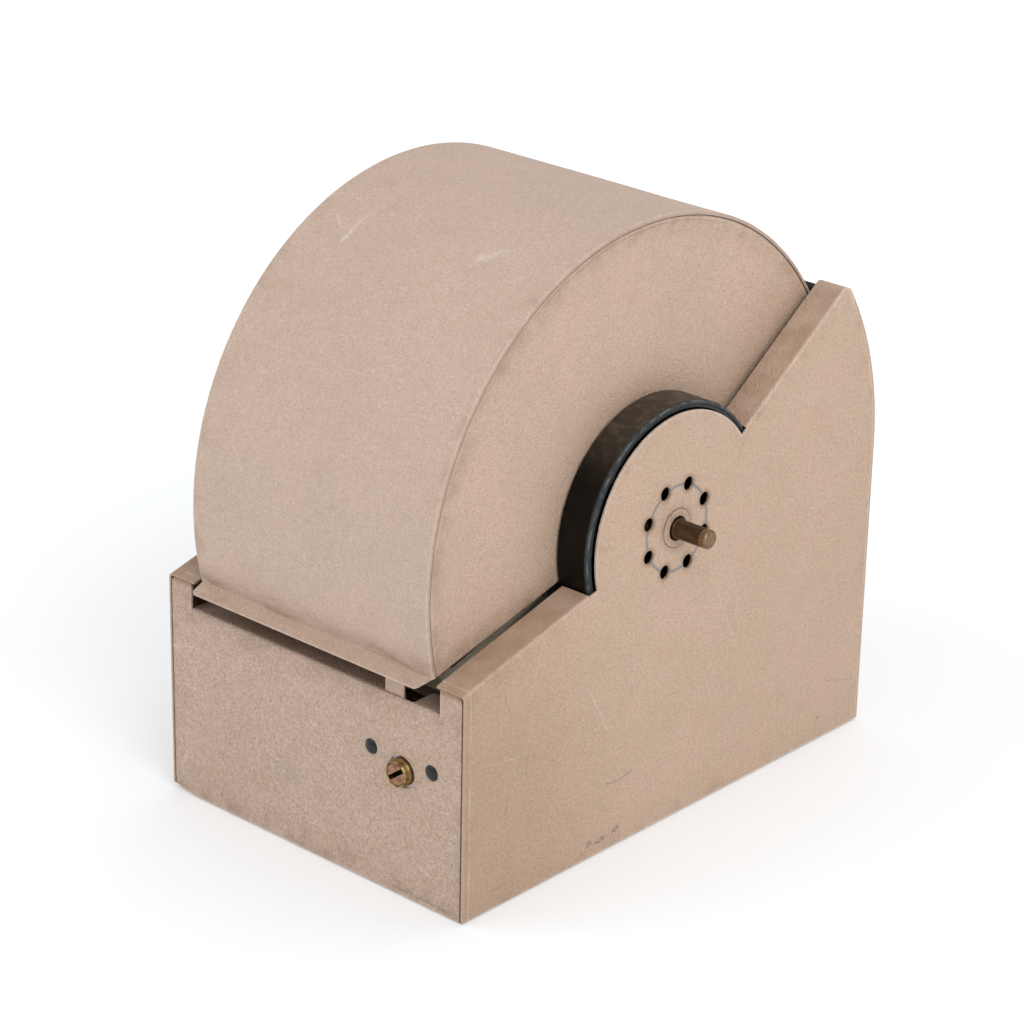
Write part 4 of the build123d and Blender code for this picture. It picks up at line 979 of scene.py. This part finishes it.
hubCup("hubCupRight", "hub_cup_right", 1, hubShape)
hubCup("hubCupLeft", "hub_cup_left", -1, hubShape)
spindle(spindleShape)
eyelet("eyeletRight", "axle_eyelet_right", 1, eyeletShape)
eyelet("eyeletLeft", "axle_eyelet_left", -1, eyeletShape)
print("hub cups and spindle made")


# lock

lockShape = {"front": 135.5, "panel": 131.5, "rear": 118.2, "bore": 5.0, "segments": 96}


# Tapered barrel with a rolled front edge; distances are in front of the spindle.
def lockBarrel(values):
    profile = [
        (values["rear"], values["bore"]), (values["front"] - 0.35, values["bore"]), (values["front"], 5.3),
        (values["front"], 5.55), (values["front"] - 0.5, 5.95), (values["panel"] + 1.6, 6.25),
        (values["panel"] + 0.9, 6.5), (values["panel"] - 1, 6.5), (values["rear"], 6.5),
        (values["rear"], values["bore"])]
    profile = roundCorners(profile, 0.3, 3)
    points, faces = turned(profile, (lockX, spindleY, lockZ), (0, -1, 0), values["segments"])
    return makePiece("lockBarrel", points, faces, "housing", "brass", ["lock_barrel"], smooth=40)


rivetShape = {
    "places": (35.5, 70.6), "height": 65.0, "panel": 131.5, "radius": 3.6, "dome": 1.3, "segments": 48,
    # (distance in front of the spindle, radius) from the head's rim back along the shank
    "shank": [(131.5, 3.6), (131.5, 1.8), (129.5, 1.8), (129.5, 3.0), (128.6, 2.4), (128.6, 0)]}


# Two domed rivet heads: height = dome * (1 - (r / R)^2.6), turned about each rivet's own line.
def lockRivets(values):
    radius = np.linspace(0, values["radius"], 10)
    dome = values["dome"] * (1 - (radius / (values["radius"] + 0.02)) ** 2.6)
    profile = np.vstack([np.stack([values["panel"] + dome, radius], axis=1), values["shank"]])
    places = [(x * mm, spindleY, values["height"] * mm) for x in values["places"]]
    points, faces = turnedSet(profile, places, (0, -1, 0), values["segments"])
    return makePiece("lockRivets", points, faces, "housing", "rivet", ["lock_rivets"],
                     smooth=40)


plugEdge = {"width": 0.12, "segments": 2, "angle": 40}

lockBarrel(lockShape)
lockRivets(rivetShape)
brokenEdgeCopy("lockPlug", "lock_plug", "copper", "lock", plugEdge)
print("lock made")


# knob and feet

knobShape = {"face": 91.2, "end": 108.0, "radius": 27.0, "flutes": 24, "depth": 1.15, "segments": 480}


# Turned knob whose rim is scalloped: radius = profile radius - depth * |cos|^3 of half the flute angle.
def knob(values):
    face, end, radius = values["face"], values["end"], values["radius"]
    profile = roundCorners([
        (face, 8.05), (face, radius - 1.2), (face + 0.8, radius), (end - 2.4, radius),
        (end - 0.4, radius - 1.6), (end - 0.2, radius - 4.5), (end - 0.9, radius - 6.0), (end - 1.1, 9.0),
        (end - 0.6, 7.0), (end - 0.2, 3.0), (end - 0.15, 0)], 0.9, 4)
    profile = np.vstack([[(104.4, 0), (104.4, 8.05)], profile])
    points, faces = turned(profile, spindleCentre, (-1, 0, 0), values["segments"])
    grid = points.reshape(len(profile), values["segments"], 3)
    turn = np.linspace(0, 2 * np.pi, values["segments"], endpoint=False)
    scallop = np.abs(np.cos(turn * values["flutes"] / 2)) ** 3 * values["depth"]
    onRim = np.clip((profile[:, 1] - (radius - 3.2)) / 2.4, 0, 1)
    shrink = 1 - onRim[:, None] * scallop[None, :] / np.maximum(profile[:, 1:2], 1e-6)
    centre = np.array((0, spindleY, spindleZ))
    grid[..., 1:] = centre[1:] + (grid[..., 1:] - centre[1:]) * shrink[..., None]
    return makePiece("knobLeft", grid, faces, "drum", "knob", ["knob_left"], smooth=45)


footShape = {
    "radius": 8.0, "rounding": 0.4, "segments": 48,
    # (height, radius) round the pad's section, with the recess for the rivet
    "profile": [(2.0, 1.6), (2.0, 8.0), (0.0, 7.4), (0.0, 3.8), (1.0, 3.6), (1.0, 1.6), (2.0, 1.6)]}


# Four turned pads, one in each corner of the feet's own box, each with a dished middle for its rivet.
def rubberFeet(values):
    low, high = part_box("rubber_feet")
    reach = values["radius"] * mm
    places = [(x, y, 0) for x in (low.x + reach, high.x - reach) for y in (low.y + reach, high.y - reach)]
    profile = roundCorners(values["profile"], values["rounding"], 3)
    points, faces = turnedSet(profile, places, (0, 0, 1), values["segments"])
    return makePiece("rubberFeet", points, faces, "housing", "rubber", ["rubber_feet"], smooth=45)


knob(knobShape)
rubberFeet(footShape)
print("knob and feet made")
